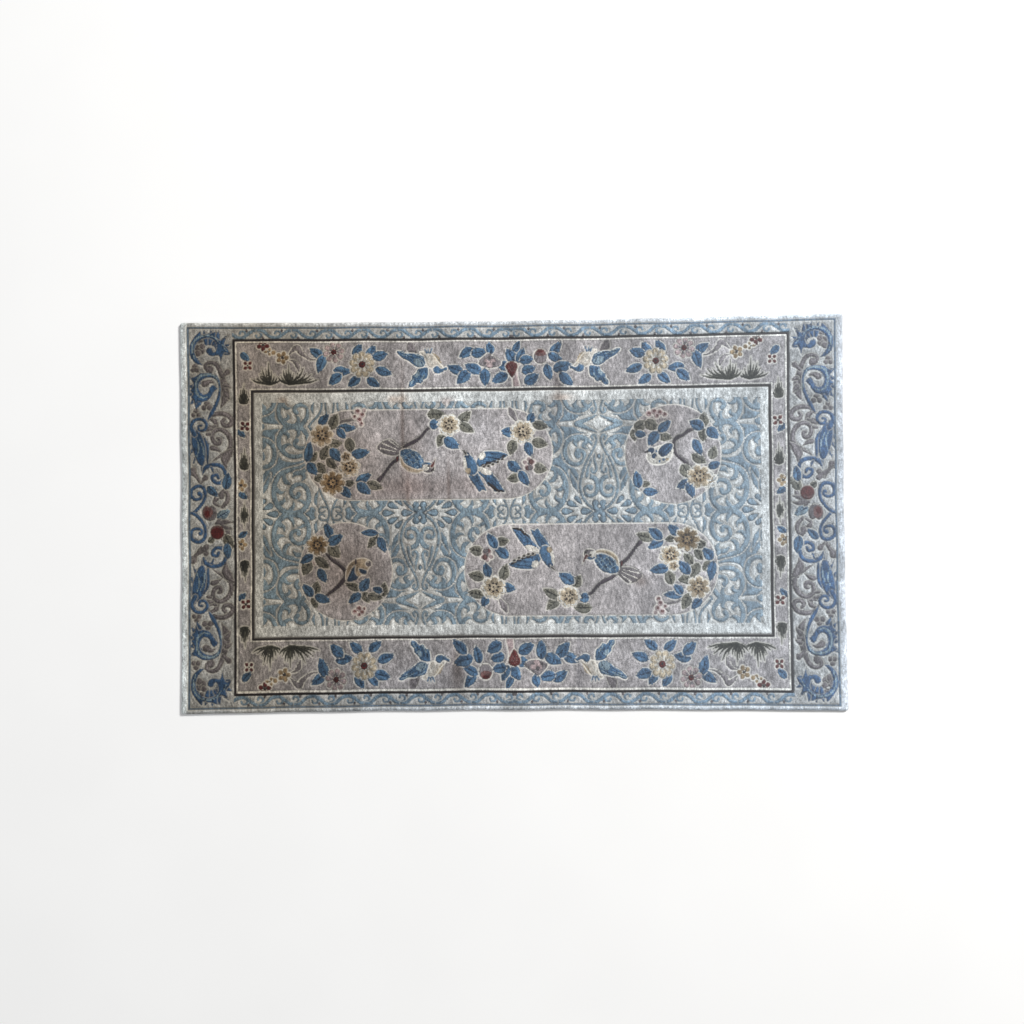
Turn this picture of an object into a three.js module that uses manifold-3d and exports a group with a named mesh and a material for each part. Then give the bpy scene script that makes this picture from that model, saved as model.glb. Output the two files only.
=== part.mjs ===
// A hand-knotted Chinese silk rug lying flat: one slab of cut pile on its woven foundation.
// The pile is carved with V-grooves along its border lines and round its four medallions,
// the long sides draw in a little at mid length, and two soft creases cross it where it was folded.
// Millimetres, +Z up, +X along the length, the origin under the middle of the rug on the floor.
import * as THREE from "three";
import { mergeVertices } from "three/addons/utils/BufferGeometryUtils.js";
import Module from "manifold-3d";

// Driving dimensions
const LENGTH = 1524;
const WIDTH = 904;
const THICKNESS = 9;
const SIDE_DRAW_IN = 6.5;
const END_DRAW_IN = 3;
const EDGE_WAVE = 0.7;
const EDGE_WAVE_LENGTH = 210;
const GROOVE_WIDTH = 4.4;
const GROOVE_DEPTH = 1.6;
const SURFACE_STEP = 64;
const PILE_COLOUR = 0x8d9192;

// How far the knotted pattern sits off centre across the width, in the field and at the outer line
const FIELD_SHIFT = 5;
const FIELD_SHIFT_REACH = 286;
const SHIFT_END = 430;

// The pile's rounded edge, from the floor up to the flat: how far in from the outline, and how high
const EDGE_PROFILE = [
  { inset: 1.6, height: 0 },
  { inset: 0.2, height: 1.6 },
  { inset: 0, height: 4 },
  { inset: 1.4, height: 6.6 },
  { inset: 4.4, height: 8.3 },
];
const FLAT_INSET = 6;
const CORNER_CUT = 0.62;

// Carved rectangles, each by its half length and half width
const BORDER_GROOVES = [
  { name: "guard line, outer edge", halfLength: 747, halfWidth: 443 },
  { name: "guard line, inner edge", halfLength: 740.5, halfWidth: 437 },
  { name: "outer brown line", halfLength: 636.5, halfWidth: 409.8 },
  { name: "inner brown line", halfLength: 595, halfWidth: 286 },
  { name: "field edge", halfLength: 573, halfWidth: 260 },
];

// Carved medallion outlines: the centre line from one end's centre to the other's, and the end radius
const MEDALLIONS = [
  { name: "upper long", x: -187.5, y: 140.5, straight: 359, radius: 104 },
  { name: "lower long", x: 187.5, y: -130.5, straight: 359, radius: 104 },
  { name: "upper round", x: 375, y: 132, straight: 0, radius: 107 },
  { name: "lower round", x: -375, y: -122, straight: 0, radius: 107 },
];
const ARC_STEPS = 20;
const STRAIGHT_STEPS = 6;

// Soft marks of the folded rug across its length, and broad swells where it does not lie quite flat
const CREASES = [
  { name: "left fold", x: -117, rise: 0.7, spread: 16 },
  { name: "right fold", x: 140, rise: -0.8, spread: 18 },
];
const SWELLS = [
  { x: -470, y: 210, rise: 0.8, spread: 190 },
  { x: 250, y: -170, rise: 0.7, spread: 210 },
  { x: 560, y: 260, rise: -0.6, spread: 170 },
  { x: -300, y: -260, rise: -0.6, spread: 180 },
];

const wasm = await Module();
wasm.setup();

const bell = (t) => Math.exp(-t * t);

// How much the pile's top stands above its nominal height at a place
function rise(x, y) {
  let z = 0;
  for (const crease of CREASES) z += crease.rise * bell((x - crease.x) / crease.spread);
  for (const swell of SWELLS) {
    z += swell.rise * bell(Math.hypot(x - swell.x, y - swell.y) / swell.spread);
  }
  return z;
}

// Where a place of the squared-up rug really lies: its sides drawn in, wavy, its pattern off centre
function lie(x, y) {
  const alongX = Math.min(1, Math.abs(x) / (LENGTH / 2));
  const alongY = Math.min(1, Math.abs(y) / (WIDTH / 2));
  const fade = (SHIFT_END - Math.abs(y)) / (SHIFT_END - FIELD_SHIFT_REACH);
  const shift = FIELD_SHIFT * THREE.MathUtils.clamp(fade, 0, 1);
  const sideWave = EDGE_WAVE * Math.sin((2 * Math.PI * x) / EDGE_WAVE_LENGTH + 2 * Math.sign(y));
  const endWave = EDGE_WAVE * Math.sin((2 * Math.PI * y) / EDGE_WAVE_LENGTH + Math.sign(x));
  const sidePull = (SIDE_DRAW_IN + sideWave) * (1 - alongX ** 2);
  const endPull = (END_DRAW_IN + endWave) * (1 - alongY ** 2);
  return {
    x: x - endPull * alongX * Math.sign(x),
    y: y + shift - sidePull * alongY * Math.sign(y),
  };
}

// The depth of the carved rectangles at a place of the squared-up rug
function borderCut(x, y) {
  let depth = 0;
  for (const groove of BORDER_GROOVES) {
    const away = Math.abs(
      Math.max(Math.abs(x) - groove.halfLength, Math.abs(y) - groove.halfWidth),
    );
    depth = Math.max(depth, GROOVE_DEPTH * (1 - away / (GROOVE_WIDTH / 2)));
  }
  return depth;
}

// The grid lines along one axis: the flat's two edges, three to a groove, and even steps between
function gridLines(halfFlat, grooveHalves, extraLines) {
  const marks = new Set([-halfFlat, halfFlat, ...extraLines]);
  for (const half of grooveHalves) {
    for (const side of [-1, 1]) {
      for (const offset of [-GROOVE_WIDTH / 2, 0, GROOVE_WIDTH / 2]) {
        marks.add(side * (half + offset));
      }
    }
  }
  const fixed = [...marks].sort((a, b) => a - b);
  const lines = [];
  for (let i = 0; i < fixed.length - 1; i++) {
    const gap = fixed[i + 1] - fixed[i];
    const steps = Math.max(1, Math.round(gap / SURFACE_STEP));
    for (let k = 0; k < steps; k++) lines.push(fixed[i] + (gap * k) / steps);
  }
  lines.push(halfFlat);
  return lines;
}

// The slab: its grooved top, its rounded edge and its flat underside, as one closed surface
function slabGeometry() {
  const halfX = LENGTH / 2 - FLAT_INSET;
  const halfY = WIDTH / 2 - FLAT_INSET;
  const creaseLines = CREASES.flatMap(({ x, spread }) => [x - spread, x, x + spread]);
  const xs = gridLines(halfX, BORDER_GROOVES.map((g) => g.halfLength), creaseLines);
  const ys = gridLines(halfY, BORDER_GROOVES.map((g) => g.halfWidth), []);
  const positions = [];
  const faces = [];
  const addPoint = (x, y, z) => {
    const place = lie(x, y);
    positions.push(place.x, place.y, z);
    return positions.length / 3 - 1;
  };
  const top = (x, y) => THICKNESS + rise(x, y) - borderCut(x, y);
  const grid = ys.map((y) => xs.map((x) => addPoint(x, y, top(x, y))));
  const addQuad = (a, b, c, d) => faces.push(a, b, c, a, c, d);
  for (let j = 0; j < ys.length - 1; j++) {
    for (let i = 0; i < xs.length - 1; i++) {
      addQuad(grid[j][i], grid[j][i + 1], grid[j + 1][i + 1], grid[j + 1][i]);
    }
  }

  // The grid's rim in order, counterclockwise seen from above
  const lastX = xs.length - 1;
  const lastY = ys.length - 1;
  const rim = [];
  for (let i = 0; i < lastX; i++) rim.push({ i, j: 0 });
  for (let j = 0; j < lastY; j++) rim.push({ i: lastX, j });
  for (let i = lastX; i > 0; i--) rim.push({ i, j: lastY });
  for (let j = lastY; j > 0; j--) rim.push({ i: 0, j });

  // Rings from the flat's rim out and down to the floor
  let inner = rim.map(({ i, j }) => grid[j][i]);
  for (const { inset, height } of [...EDGE_PROFILE].reverse()) {
    const ring = rim.map(({ i, j }) => {
      const sideX = i === 0 ? -1 : i === lastX ? 1 : 0;
      const sideY = j === 0 ? -1 : j === lastY ? 1 : 0;
      const reach = (FLAT_INSET - inset) * (sideX && sideY ? CORNER_CUT : 1);
      const lift = rise(xs[i], ys[j]) * (height / THICKNESS);
      return addPoint(xs[i] + sideX * reach, ys[j] + sideY * reach, height + lift);
    });
    for (let k = 0; k < rim.length; k++) {
      const next = (k + 1) % rim.length;
      addQuad(inner[k], ring[k], ring[next], inner[next]);
    }
    inner = ring;
  }

  // The underside: the last ring closed flat
  const footprint = inner.map((v) => new THREE.Vector2(positions[3 * v], positions[3 * v + 1]));
  for (const [a, b, c] of THREE.ShapeUtils.triangulateShape(footprint, [])) {
    faces.push(inner[a], inner[c], inner[b]);
  }
  const geometry = new THREE.BufferGeometry();
  geometry.setAttribute("position", new THREE.Float32BufferAttribute(positions, 3));
  geometry.setIndex(faces);
  return geometry;
}

// The points of a medallion's outline with their outward directions, counterclockwise
function medallionOutline({ x, y, straight, radius }) {
  const points = [];
  for (const end of [1, -1]) {
    const start = end === 1 ? -Math.PI / 2 : Math.PI / 2;
    for (let k = 0; k <= ARC_STEPS; k++) {
      if (straight === 0 && k === ARC_STEPS) continue;
      const angle = start + (Math.PI * k) / ARC_STEPS;
      const outX = Math.cos(angle);
      const outY = Math.sin(angle);
      points.push({
        x: x + (end * straight) / 2 + radius * outX,
        y: y + radius * outY,
        outX,
        outY,
      });
    }
    for (let k = 1; straight > 0 && k < STRAIGHT_STEPS; k++) {
      points.push({
        x: x + end * straight * (0.5 - k / STRAIGHT_STEPS),
        y: y + end * radius,
        outX: 0,
        outY: end,
      });
    }
  }
  return points;
}

// The V-shaped ring that carves one medallion's outline out of the pile
function medallionCutter(medallion) {
  const clearance = 2;
  const widen = (GROOVE_DEPTH + clearance) / GROOVE_DEPTH;
  const section = [
    { out: 0, up: -GROOVE_DEPTH },
    { out: (GROOVE_WIDTH / 2) * widen, up: clearance },
    { out: (-GROOVE_WIDTH / 2) * widen, up: clearance },
  ];
  const outline = medallionOutline(medallion);
  const positions = [];
  for (const point of outline) {
    const surface = THICKNESS + rise(point.x, point.y - FIELD_SHIFT);
    for (const { out, up } of section) {
      positions.push(point.x + out * point.outX, point.y + out * point.outY, surface + up);
    }
  }
  const faces = [];
  const sides = section.length;
  for (let k = 0; k < outline.length; k++) {
    const next = (k + 1) % outline.length;
    for (let s = 0; s < sides; s++) {
      const other = (s + 1) % sides;
      const [a, b] = [k * sides + s, k * sides + other];
      const [c, d] = [next * sides + other, next * sides + s];
      faces.push(a, c, b, a, d, c);
    }
  }
  const geometry = new THREE.BufferGeometry();
  geometry.setAttribute("position", new THREE.Float32BufferAttribute(positions, 3));
  geometry.setIndex(faces);
  return geometry;
}

// A closed geometry as a solid that can be cut
function solidOf(geometry) {
  const merged = mergeVertices(geometry, 1e-4);
  return new wasm.Manifold(
    new wasm.Mesh({
      numProp: 3,
      vertProperties: new Float32Array(merged.attributes.position.array),
      triVerts: new Uint32Array(merged.index.array),
    }),
  );
}

// A cut solid back as a geometry with flat faces
function geometryOf(solid) {
  const mesh = solid.getMesh();
  const geometry = new THREE.BufferGeometry();
  geometry.setAttribute("position", new THREE.Float32BufferAttribute(mesh.vertProperties, 3));
  geometry.setIndex([...mesh.triVerts]);
  const flat = geometry.toNonIndexed();
  flat.computeVertexNormals();
  return flat;
}

function rugMesh() {
  let slab = solidOf(slabGeometry());
  for (const medallion of MEDALLIONS) slab = slab.subtract(solidOf(medallionCutter(medallion)));
  const material = new THREE.MeshStandardMaterial({
    color: PILE_COLOUR,
    roughness: 0.85,
    metalness: 0,
  });
  const mesh = new THREE.Mesh(geometryOf(slab), material);
  mesh.name = "rug";
  return mesh;
}

const rug = new THREE.Group();
rug.add(rugMesh());

export default rug;
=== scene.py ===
# A hand-knotted Chinese silk rug seen from above on a plain pale floor.
# Its pattern is drawn as outlines on a fine grid over the whole rug: grid points near an outline
# move onto it, and the pile is carved down along it, as a rug finisher's scissors do.
import math

import bpy
import numpy as np
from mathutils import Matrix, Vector


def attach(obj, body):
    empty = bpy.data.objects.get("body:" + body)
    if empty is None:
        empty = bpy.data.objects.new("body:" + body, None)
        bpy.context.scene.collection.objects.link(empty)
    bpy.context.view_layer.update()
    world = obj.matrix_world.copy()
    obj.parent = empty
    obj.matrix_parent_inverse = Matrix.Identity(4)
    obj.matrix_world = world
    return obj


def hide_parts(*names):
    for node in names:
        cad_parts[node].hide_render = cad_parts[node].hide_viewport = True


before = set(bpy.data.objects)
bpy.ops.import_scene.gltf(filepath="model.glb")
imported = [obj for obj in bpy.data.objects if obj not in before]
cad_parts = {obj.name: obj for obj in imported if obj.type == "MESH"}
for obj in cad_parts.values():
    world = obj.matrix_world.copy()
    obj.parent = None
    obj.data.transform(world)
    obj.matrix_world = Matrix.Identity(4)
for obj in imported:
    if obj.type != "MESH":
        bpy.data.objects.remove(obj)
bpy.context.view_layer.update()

# The rug, in millimetres, as its CAD source has it
LENGTH = 1524.0
WIDTH = 904.0
SIDE_DRAW_IN = 6.5
END_DRAW_IN = 3.0
EDGE_WAVE = 0.7
EDGE_WAVE_LENGTH = 210.0
FIELD_SHIFT = 5.0
FIELD_SHIFT_REACH = 286.0
SHIFT_END = 430.0
CREASES = [  # x, rise, spread
    (-117, 0.7, 16),
    (140, -0.8, 18),
]
SWELLS = [  # x, y, rise, spread
    (-470, 210, 0.8, 190),
    (250, -170, 0.7, 210),
    (560, 260, -0.6, 170),
    (-300, -260, -0.6, 180),
]

# The knotted pattern's bands, as half lengths and half widths from the outside in
GUARD_OUT = (746.5, 442.5)
GUARD_IN = (741.0, 437.5)
BROWN_OUT = (639.5, 412.5)
BROWN_IN = (634.0, 407.2)
IVORY_OUT = (629.8, 403.0)
IVORY_IN = (602.0, 293.4)
DARK_OUT = (598.5, 289.7)
DARK_IN = (592.2, 283.4)
FIELD = (572.0, 259.3)

# The field's fretwork is one tile, mirrored along and across
FRET_X = -3.0
FRET_Y = 1.5
TILE_U = 206.5
TILE_V = 203.0

# The grid's step, how far the carving reaches from an outline, and a distance beyond all of them
STEP = 2.0
CARVE_REACH = 3.2
FAR = 50.0
BLOCK = 2_000_000  # distances worked out at one time

# Inks, as scene-linear colours
INKS = {
    "band": (0.506, 0.534, 0.564),
    "guard": (0.092, 0.141, 0.204),
    "cream": (0.459, 0.47, 0.464),
    "scroll_ground": (0.359, 0.362, 0.36),
    "taupe": (0.273, 0.255, 0.257),
    "medallion": (0.304, 0.282, 0.283),
    "slate": (0.147, 0.209, 0.263),
    "slate_light": (0.17, 0.228, 0.269),
    "blue": (0.0472, 0.0966, 0.168),
    "blue_light": (0.0644, 0.126, 0.208),
    "navy": (0.0204, 0.0412, 0.0786),
    "mauve": (0.11, 0.098, 0.103),
    "mauve_light": (0.168, 0.152, 0.159),
    "brown": (0.0182, 0.0132, 0.0132),
    "ivory": (0.414, 0.396, 0.36),
    "rim": (0.6, 0.58, 0.54),
    "ochre": (0.224, 0.159, 0.0907),
    "honey": (0.292, 0.237, 0.168),
    "pale_yellow": (0.387, 0.327, 0.242),
    "dark_ochre": (0.12, 0.08, 0.04),
    "red": (0.0713, 0.011, 0.0099),
    "peach": (0.113, 0.0578, 0.0546),
    "pink": (0.3, 0.235, 0.235),
    "grey_green": (0.129, 0.124, 0.0994),
    "tuft": (0.0187, 0.0187, 0.0136),
    "tuft_light": (0.045, 0.045, 0.0336),
    "feather": (0.37, 0.34, 0.3),
    "branch": (0.0442, 0.0347, 0.0432),
    "green_light": (0.124, 0.122, 0.103),
    "green_dark": (0.0288, 0.0288, 0.024),
    "blue_scroll": (0.034, 0.0792, 0.164),
    "wave_blue": (0.137, 0.201, 0.266),
}
INK_NAMES = list(INKS)
INK = {name: number for number, name in enumerate(INK_NAMES)}


# Outlines: arrays of points, each a closed loop

def curve(points, per=7, closed=False):
    """A smooth curve through the points."""
    p = np.array(points, float)
    if len(p) < 3:
        return np.linspace(p[0], p[-1], per)
    if closed:
        p = np.vstack([p[-1], p, p[0], p[1]])
    else:
        p = np.vstack([2 * p[0] - p[1], p, 2 * p[-1] - p[-2]])
    t = np.linspace(0, 1, per, endpoint=False)[:, None]
    runs = []
    for a, b, c, d in zip(p[:-3], p[1:-2], p[2:-1], p[3:]):
        bend = 2 * a - 5 * b + 4 * c - d
        twist = 3 * b - a - 3 * c + d
        runs.append(b + 0.5 * t * (c - a + t * (bend + t * twist)))
    if not closed:
        runs.append(p[-2:-1])
    return np.vstack(runs)


def ribbon(points, widths):
    """A strip along a smooth curve; widths are full widths, spread evenly over its points."""
    path = curve(points)
    along = np.linspace(0, 1, len(path))
    half = np.interp(along, np.linspace(0, 1, len(widths)), widths) / 2
    tangent = np.gradient(path, axis=0)
    tangent /= np.linalg.norm(tangent, axis=1)[:, None] + 1e-9
    normal = np.stack([-tangent[:, 1], tangent[:, 0]], 1)
    left = path + normal * half[:, None]
    right = path - normal * half[:, None]
    caps = []
    for end, way in ((-1, 1), (0, -1)):
        angles = np.linspace(math.pi / 2, -math.pi / 2, 7)[1:-1, None]
        out = tangent[end] * way
        side = normal[end] * way
        caps.append(path[end] + half[end] * (np.cos(angles) * out + np.sin(angles) * side))
    return np.vstack([left, caps[0], right[::-1], caps[1]])


def ribbons(strokes, weight=1.0, extra=0.0):
    """A strip for each stroke, its widths scaled by weight and then widened."""
    return [ribbon(points, [weight * w + extra for w in widths]) for points, widths in strokes]


def straights(ends, *widths):
    """A strip between each pair of ends."""
    return [ribbon(pair, widths) for pair in ends]


def disc(x, y, r, squash=1.0, turn=0.0):
    """A circle, or an ellipse whose second radius is squash times the first."""
    a = np.linspace(0, 2 * math.pi, 24, endpoint=False)
    return placed(np.stack([r * np.cos(a), r * squash * np.sin(a)], 1), x, y, turn)


def box(half_x, half_y):
    """A rectangle about the rug's middle."""
    return np.array([[-half_x, -half_y], [half_x, -half_y], [half_x, half_y], [-half_x, half_y]])


def leaf(x, y, length, width, turn):
    """A pointed leaf about its own middle, its tip towards turn, in degrees."""
    t = np.linspace(0, 1, 11)
    fat = np.sin(math.pi * t**0.8) ** 0.9 * width / 2
    upper = np.stack([length * (t - 0.5), fat], 1)
    lower = np.stack([length * (t - 0.5), -fat], 1)[::-1][1:-1]
    return placed(np.vstack([upper, lower]), x, y, turn)


def drop(tip, round_end, width):
    """A teardrop from its tip to its round end."""
    tip, end = np.array(tip, float), np.array(round_end, float)
    length = np.linalg.norm(end - tip)
    t = np.linspace(0, 1, 12)
    fat = np.sqrt(np.clip(t * (1 - t), 0, None)) * (0.35 + 1.15 * t) * width * 0.93
    along = (end - tip) / length
    across = np.array([-along[1], along[0]])
    spine = tip + along * (t * length)[:, None]
    return np.vstack([spine + across * fat[:, None], (spine - across * fat[:, None])[::-1][1:-1]])


def blossom(x, y, r, petals, notch=0.28, turn=0.0, ruffle=0.0, squash=1.0):
    """A flower's rim with notches between its petals."""
    a = np.linspace(0, 2 * math.pi, petals * 10, endpoint=False)
    wave = np.abs(np.cos(petals * a / 2)) ** 0.6
    rim = r * (1 - notch + notch * wave + ruffle * np.cos(petals * 3 * a))
    return placed(np.stack([rim * np.cos(a), squash * rim * np.sin(a)], 1), x, y, turn)


def placed(outline, x, y, turn):
    """An outline turned by degrees and moved."""
    a = math.radians(turn)
    spin = np.array([[math.cos(a), math.sin(a)], [-math.sin(a), math.cos(a)]])
    return outline @ spin + (x, y)


class Chart:
    """The grid over the squared-up rug: each point's ink, and its way to the nearest outline."""

    def __init__(self):
        nx = int(round(LENGTH / STEP)) + 1
        ny = int(round(WIDTH / STEP)) + 1
        xs = np.linspace(-LENGTH / 2, LENGTH / 2, nx)
        ys = np.linspace(-WIDTH / 2, WIDTH / 2, ny)
        self.shape = (ny, nx)
        grid_x, grid_y = np.meshgrid(xs, ys)
        self.x = grid_x.ravel()
        self.y = grid_y.ravel()
        size = nx * ny
        self.ink = np.full(size, INK["band"], np.int16)
        self.near = np.full(size, FAR)
        self.way = np.zeros((size, 2))
        self.line = np.zeros(size)
        self.depth = np.zeros(size)

    def within(self, half):
        """Which points lie inside a rectangle of these half sizes."""
        return (np.abs(self.x) <= half[0] + 0.01) & (np.abs(self.y) <= half[1] + 0.01)


class Region:
    """Some of a chart's points, in coordinates of their own in which outlines are drawn."""

    def __init__(self, chart, at, u, v, flip_u, flip_v):
        self.chart, self.at = chart, at
        self.u, self.v = u, v
        self.flip_u, self.flip_v = flip_u, flip_v

    def fill(self, outlines, ink, line=0.0, depth=1.0, carve=True):
        """Inks what the outlines cover together, and carves along their common rim."""
        if isinstance(outlines, np.ndarray):
            outlines = [outlines]
        chart = self.chart
        reach = CARVE_REACH + STEP
        low = np.min([o.min(0) for o in outlines], 0) - reach
        high = np.max([o.max(0) for o in outlines], 0) + reach
        near = between(self.u, self.v, low, high)
        if not len(near):
            return
        signed = np.full(len(near), -FAR)
        way = np.zeros((len(near), 2))
        near_u, near_v = self.u[near], self.v[near]
        for outline in outlines:
            close = between(near_u, near_v, outline.min(0) - reach, outline.max(0) + reach)
            if not len(close):
                continue
            distance, way_there = signed_distance(near_u[close], near_v[close], outline)
            more = distance > signed[close]
            signed[close[more]] = distance[more]
            way[close[more]] = way_there[more]
        spot = self.at[near]
        inside = signed > 0
        chart.ink[spot[inside]] = INK[ink]
        if not carve:
            return
        change = inside | (-signed < chart.near[spot])
        where = spot[change]
        chart.near[where] = np.abs(signed[change])
        chart.way[where, 0] = way[change, 0] * self.flip_u[near[change]]
        chart.way[where, 1] = way[change, 1] * self.flip_v[near[change]]
        chart.line[where] = line
        chart.depth[where] = depth


def between(u, v, low, high):
    """The numbers of the points inside a box."""
    return np.nonzero((u > low[0]) & (u < high[0]) & (v > low[1]) & (v < high[1]))[0]


def signed_distance(u, v, outline):
    """Distance to an outline, positive inside, and the way to its nearest point."""
    size = len(u)
    signed = np.empty(size)
    way = np.empty((size, 2))
    side_u, side_v = (np.roll(outline, -1, 0) - outline).T
    square_length = side_u**2 + side_v**2 + 1e-12
    slope_v = np.where(np.abs(side_v) < 1e-12, 1e-12, side_v)
    block = max(1, BLOCK // len(outline))
    for k in range(0, size, block):
        from_u = u[k : k + block, None] - outline[:, 0]
        from_v = v[k : k + block, None] - outline[:, 1]
        t = np.clip((from_u * side_u + from_v * side_v) / square_length, 0, 1)
        way_u, way_v = t * side_u - from_u, t * side_v - from_v
        square = way_u**2 + way_v**2
        nearest = square.argmin(1)
        row = np.arange(len(nearest))
        crosses = ((from_v < 0) != (from_v - side_v < 0)) & (from_u < side_u * from_v / slope_v)
        inside = crosses.sum(1) % 2 == 1
        away = np.sqrt(square[row, nearest])
        signed[k : k + block] = np.where(inside, away, -away)
        way[k : k + block, 0] = way_u[row, nearest]
        way[k : k + block, 1] = way_v[row, nearest]
    return signed, way


# The field's fretwork, in its tile: u from the flower's axis to the stem cluster's, v from the
# flower's row to the star's. Each stroke is its points and its widths.

FRET_UNDER_SHAPES = [
    # the wing under the star row, down to its barb
    curve([(101, 201), (86, 198.5), (68, 197), (54, 195), (46, 187), (34, 182.5), (24, 181.5),
           (36, 179.5), (52, 180), (65, 176.5), (74, 169), (80, 158), (82, 170), (80, 183), (88, 192)],
          4, closed=True),
    # the wing over the great roundel, with its three tips
    curve([(86, 148), (89, 134), (99, 124.5), (122, 121), (147, 126), (165, 136), (160, 124), (142, 118),
           (122, 112.5), (104, 107.5), (89, 98), (79, 84), (71.5, 68), (67, 56), (67, 78), (71, 95),
           (58, 106.5), (76, 111), (83, 122), (82, 135)], 4, closed=True),
    # the three-lobed palmette pointing at the joint of the roundels
    curve([(146, 0), (153, 5), (158, 9), (160, 16), (167, 15), (173, 9), (171, 4), (171, -4), (173, -9),
           (167, -15), (160, -16), (158, -9), (153, -5)], 4, closed=True),
]
FRET_UNDER_STROKES = [
    # the two leaves that hug the lyre
    ([(68, 107), (60, 96), (52, 83), (47, 69)], [5, 13, 12, 3]),
    ([(67, 93), (62, 78), (55, 61), (47, 43)], [2, 9, 13, 3]),
    # the thin stems and the lens leaf by the cluster's axis
    ([(204, -1), (202.5, 9), (198, 21), (190, 35), (184, 50), (179, 70), (178, 92), (184, 112)],
     [5, 5, 5, 5, 5, 5, 5, 4]),
    ([(177, 15), (172.5, 27), (174, 41), (179, 54)], [2, 9, 9, 2]),
    ([(200, 62), (203.5, 90), (203, 120), (197, 146), (199, 170), (204, 190)], [3, 5, 5, 5, 5, 5]),
    ([(180, 118), (187, 138), (188, 158), (181, 176), (168, 190), (158, 203)], [5, 6, 6, 6, 6, 6]),
    ([(170, 146), (166, 160), (169, 175)], [2, 9, 2]),
    ([(203, 10), (196, 14.5), (187, 15), (180.5, 10), (181.5, 3.5), (188, 2), (193.5, 6)],
     [4.5, 5, 5, 5, 5, 5, 4]),
]
# Each group is laid over the ones before it inside a thin cream line
FRET_GROUPS = [
    # the great roundel, its volute on one side and its lobes
    [([(112, -1), (98, 6), (85, 19), (77, 37), (75.5, 58), (80, 77), (92, 93), (110, 101), (132, 106),
       (150, 115), (165, 129)], [20, 14, 13, 13, 13, 13, 12, 12, 11, 9, 6]),
     ([(128, -1), (143, 8), (154, 24), (156.5, 44), (150, 61), (137, 69), (123, 65.5), (115, 54),
       (118.5, 42), (129, 38.5), (133, 46)], [20, 13, 12, 12, 12, 11, 11, 11, 10, 10, 13]),
     ([(106, 0), (134, 0)], [17, 17]),
     ([(101, 97), (99, 84), (104, 74), (112, 70)], [8, 11, 12, 7]),
     ([(79, 63), (85, 53), (94, 50), (103, 53)], [10, 11, 8, 1.5]),
     ([(84, 20), (92, 26), (99, 31), (99, 41)], [11, 12, 9, 2]),
     ([(108, 4), (117, 12), (121.5, 22), (119.5, 33)], [10, 11, 8, 1.5]),
     ([(153, 22), (145, 27), (137, 31), (128, 30)], [7, 10, 7, 1.5])],
    # the stem with its lobed leaf over the volute
    [([(168, 117), (153, 106), (139, 96), (127, 94), (119, 86)], [7, 9, 12, 12, 4]),
     ([(141, 96), (146, 86), (140, 77)], [11, 11, 4])],
    # the small roundel
    [([(112, 204), (101, 196), (92, 184), (88, 168), (93, 151), (107, 137), (124, 133), (142, 136),
       (160, 142)], [18, 13, 12, 12, 12, 12, 12, 10, 5]),
     ([(130, 204), (143, 197), (153, 184), (155.5, 170), (152, 158)], [18, 12, 11, 9, 5]),
     ([(106, 203), (135, 203)], [15, 15]),
     ([(96, 189), (105, 187), (111, 181), (107, 172)], [9, 10, 9, 2]),
     ([(98, 146), (101, 156), (110, 161), (119, 158)], [9, 11, 9, 1.5]),
     ([(154, 158), (141, 153), (129, 156), (125, 164), (130, 171)], [6, 10, 10, 11, 12]),
     ([(127, 201), (134, 192), (133, 182), (126, 177)], [10, 11, 8, 1.5])],
    # the side volute on the lyre's shoulder
    [([(12, 151), (22, 163), (36, 170.5), (52, 172), (67, 166), (76, 153), (78, 137), (73, 121),
       (62, 111), (48, 109.5), (37, 117), (32.5, 128), (37, 139), (48, 140)],
      [5, 10, 13, 12, 11, 11, 12, 12, 11, 10, 10, 10, 10, 14]),
     ([(48, 129), (50, 134)], [15, 15]),
     ([(46, 169), (54, 160), (50, 150)], [13, 13, 4]),
     ([(27, 163), (35, 151), (25, 144)], [12, 10, 2])],
    # the inner volute under it
    [([(42, 74), (31, 81), (16, 80), (5.5, 70), (3.8, 54), (8.5, 41), (19, 35.5), (30, 39), (34.5, 48),
       (29, 57), (20, 55)], [6, 11, 13, 12, 10, 10, 10, 9, 8, 9, 15])],
    # the small stem and hook between the lyre's arms
    [([(28, 80), (25.5, 96), (20.5, 112), (13.5, 129)], [8, 7.5, 6.5, 3.5])],
    [([(10.5, 133), (10, 118), (6.8, 106), (5.8, 97), (9.5, 90), (16, 91.5), (16.5, 99)],
      [4, 6.5, 7.5, 7, 7, 7, 7])],
    # the lyre itself
    [([(3, -1), (12, 5), (28, 18), (39, 36), (43.5, 59), (40, 81), (34, 101), (26, 120), (15.5, 138),
       (8, 154), (5, 168), (9.5, 177), (16, 173), (13.5, 167)],
      [7, 7, 7, 7, 7, 7, 7, 6.5, 6, 6, 6, 6.5, 7, 7])],
    # the band round the star
    [([(4, 183), (14, 188), (26, 193), (38, 198), (50, 203)], [3, 7, 10, 12, 14])],
]
FRET_PETALS = [  # tip, round end, width
    ((15, 0), (43, 0), 17),
    ((58, 0), (87, 0), 16),
    ((49, 10), (74, 22.5), 15),
    ((39, 16), (56, 35), 12),
]
FRET_FLOWER = [(8.5, 18.5, 8), (7, 9, 7.5), (0, 2, 8)]  # u, v, radius of its lobes
FRET_HALO = 4.5
CORE = 0.3  # share of a stroke's width that its lighter middle takes


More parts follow.
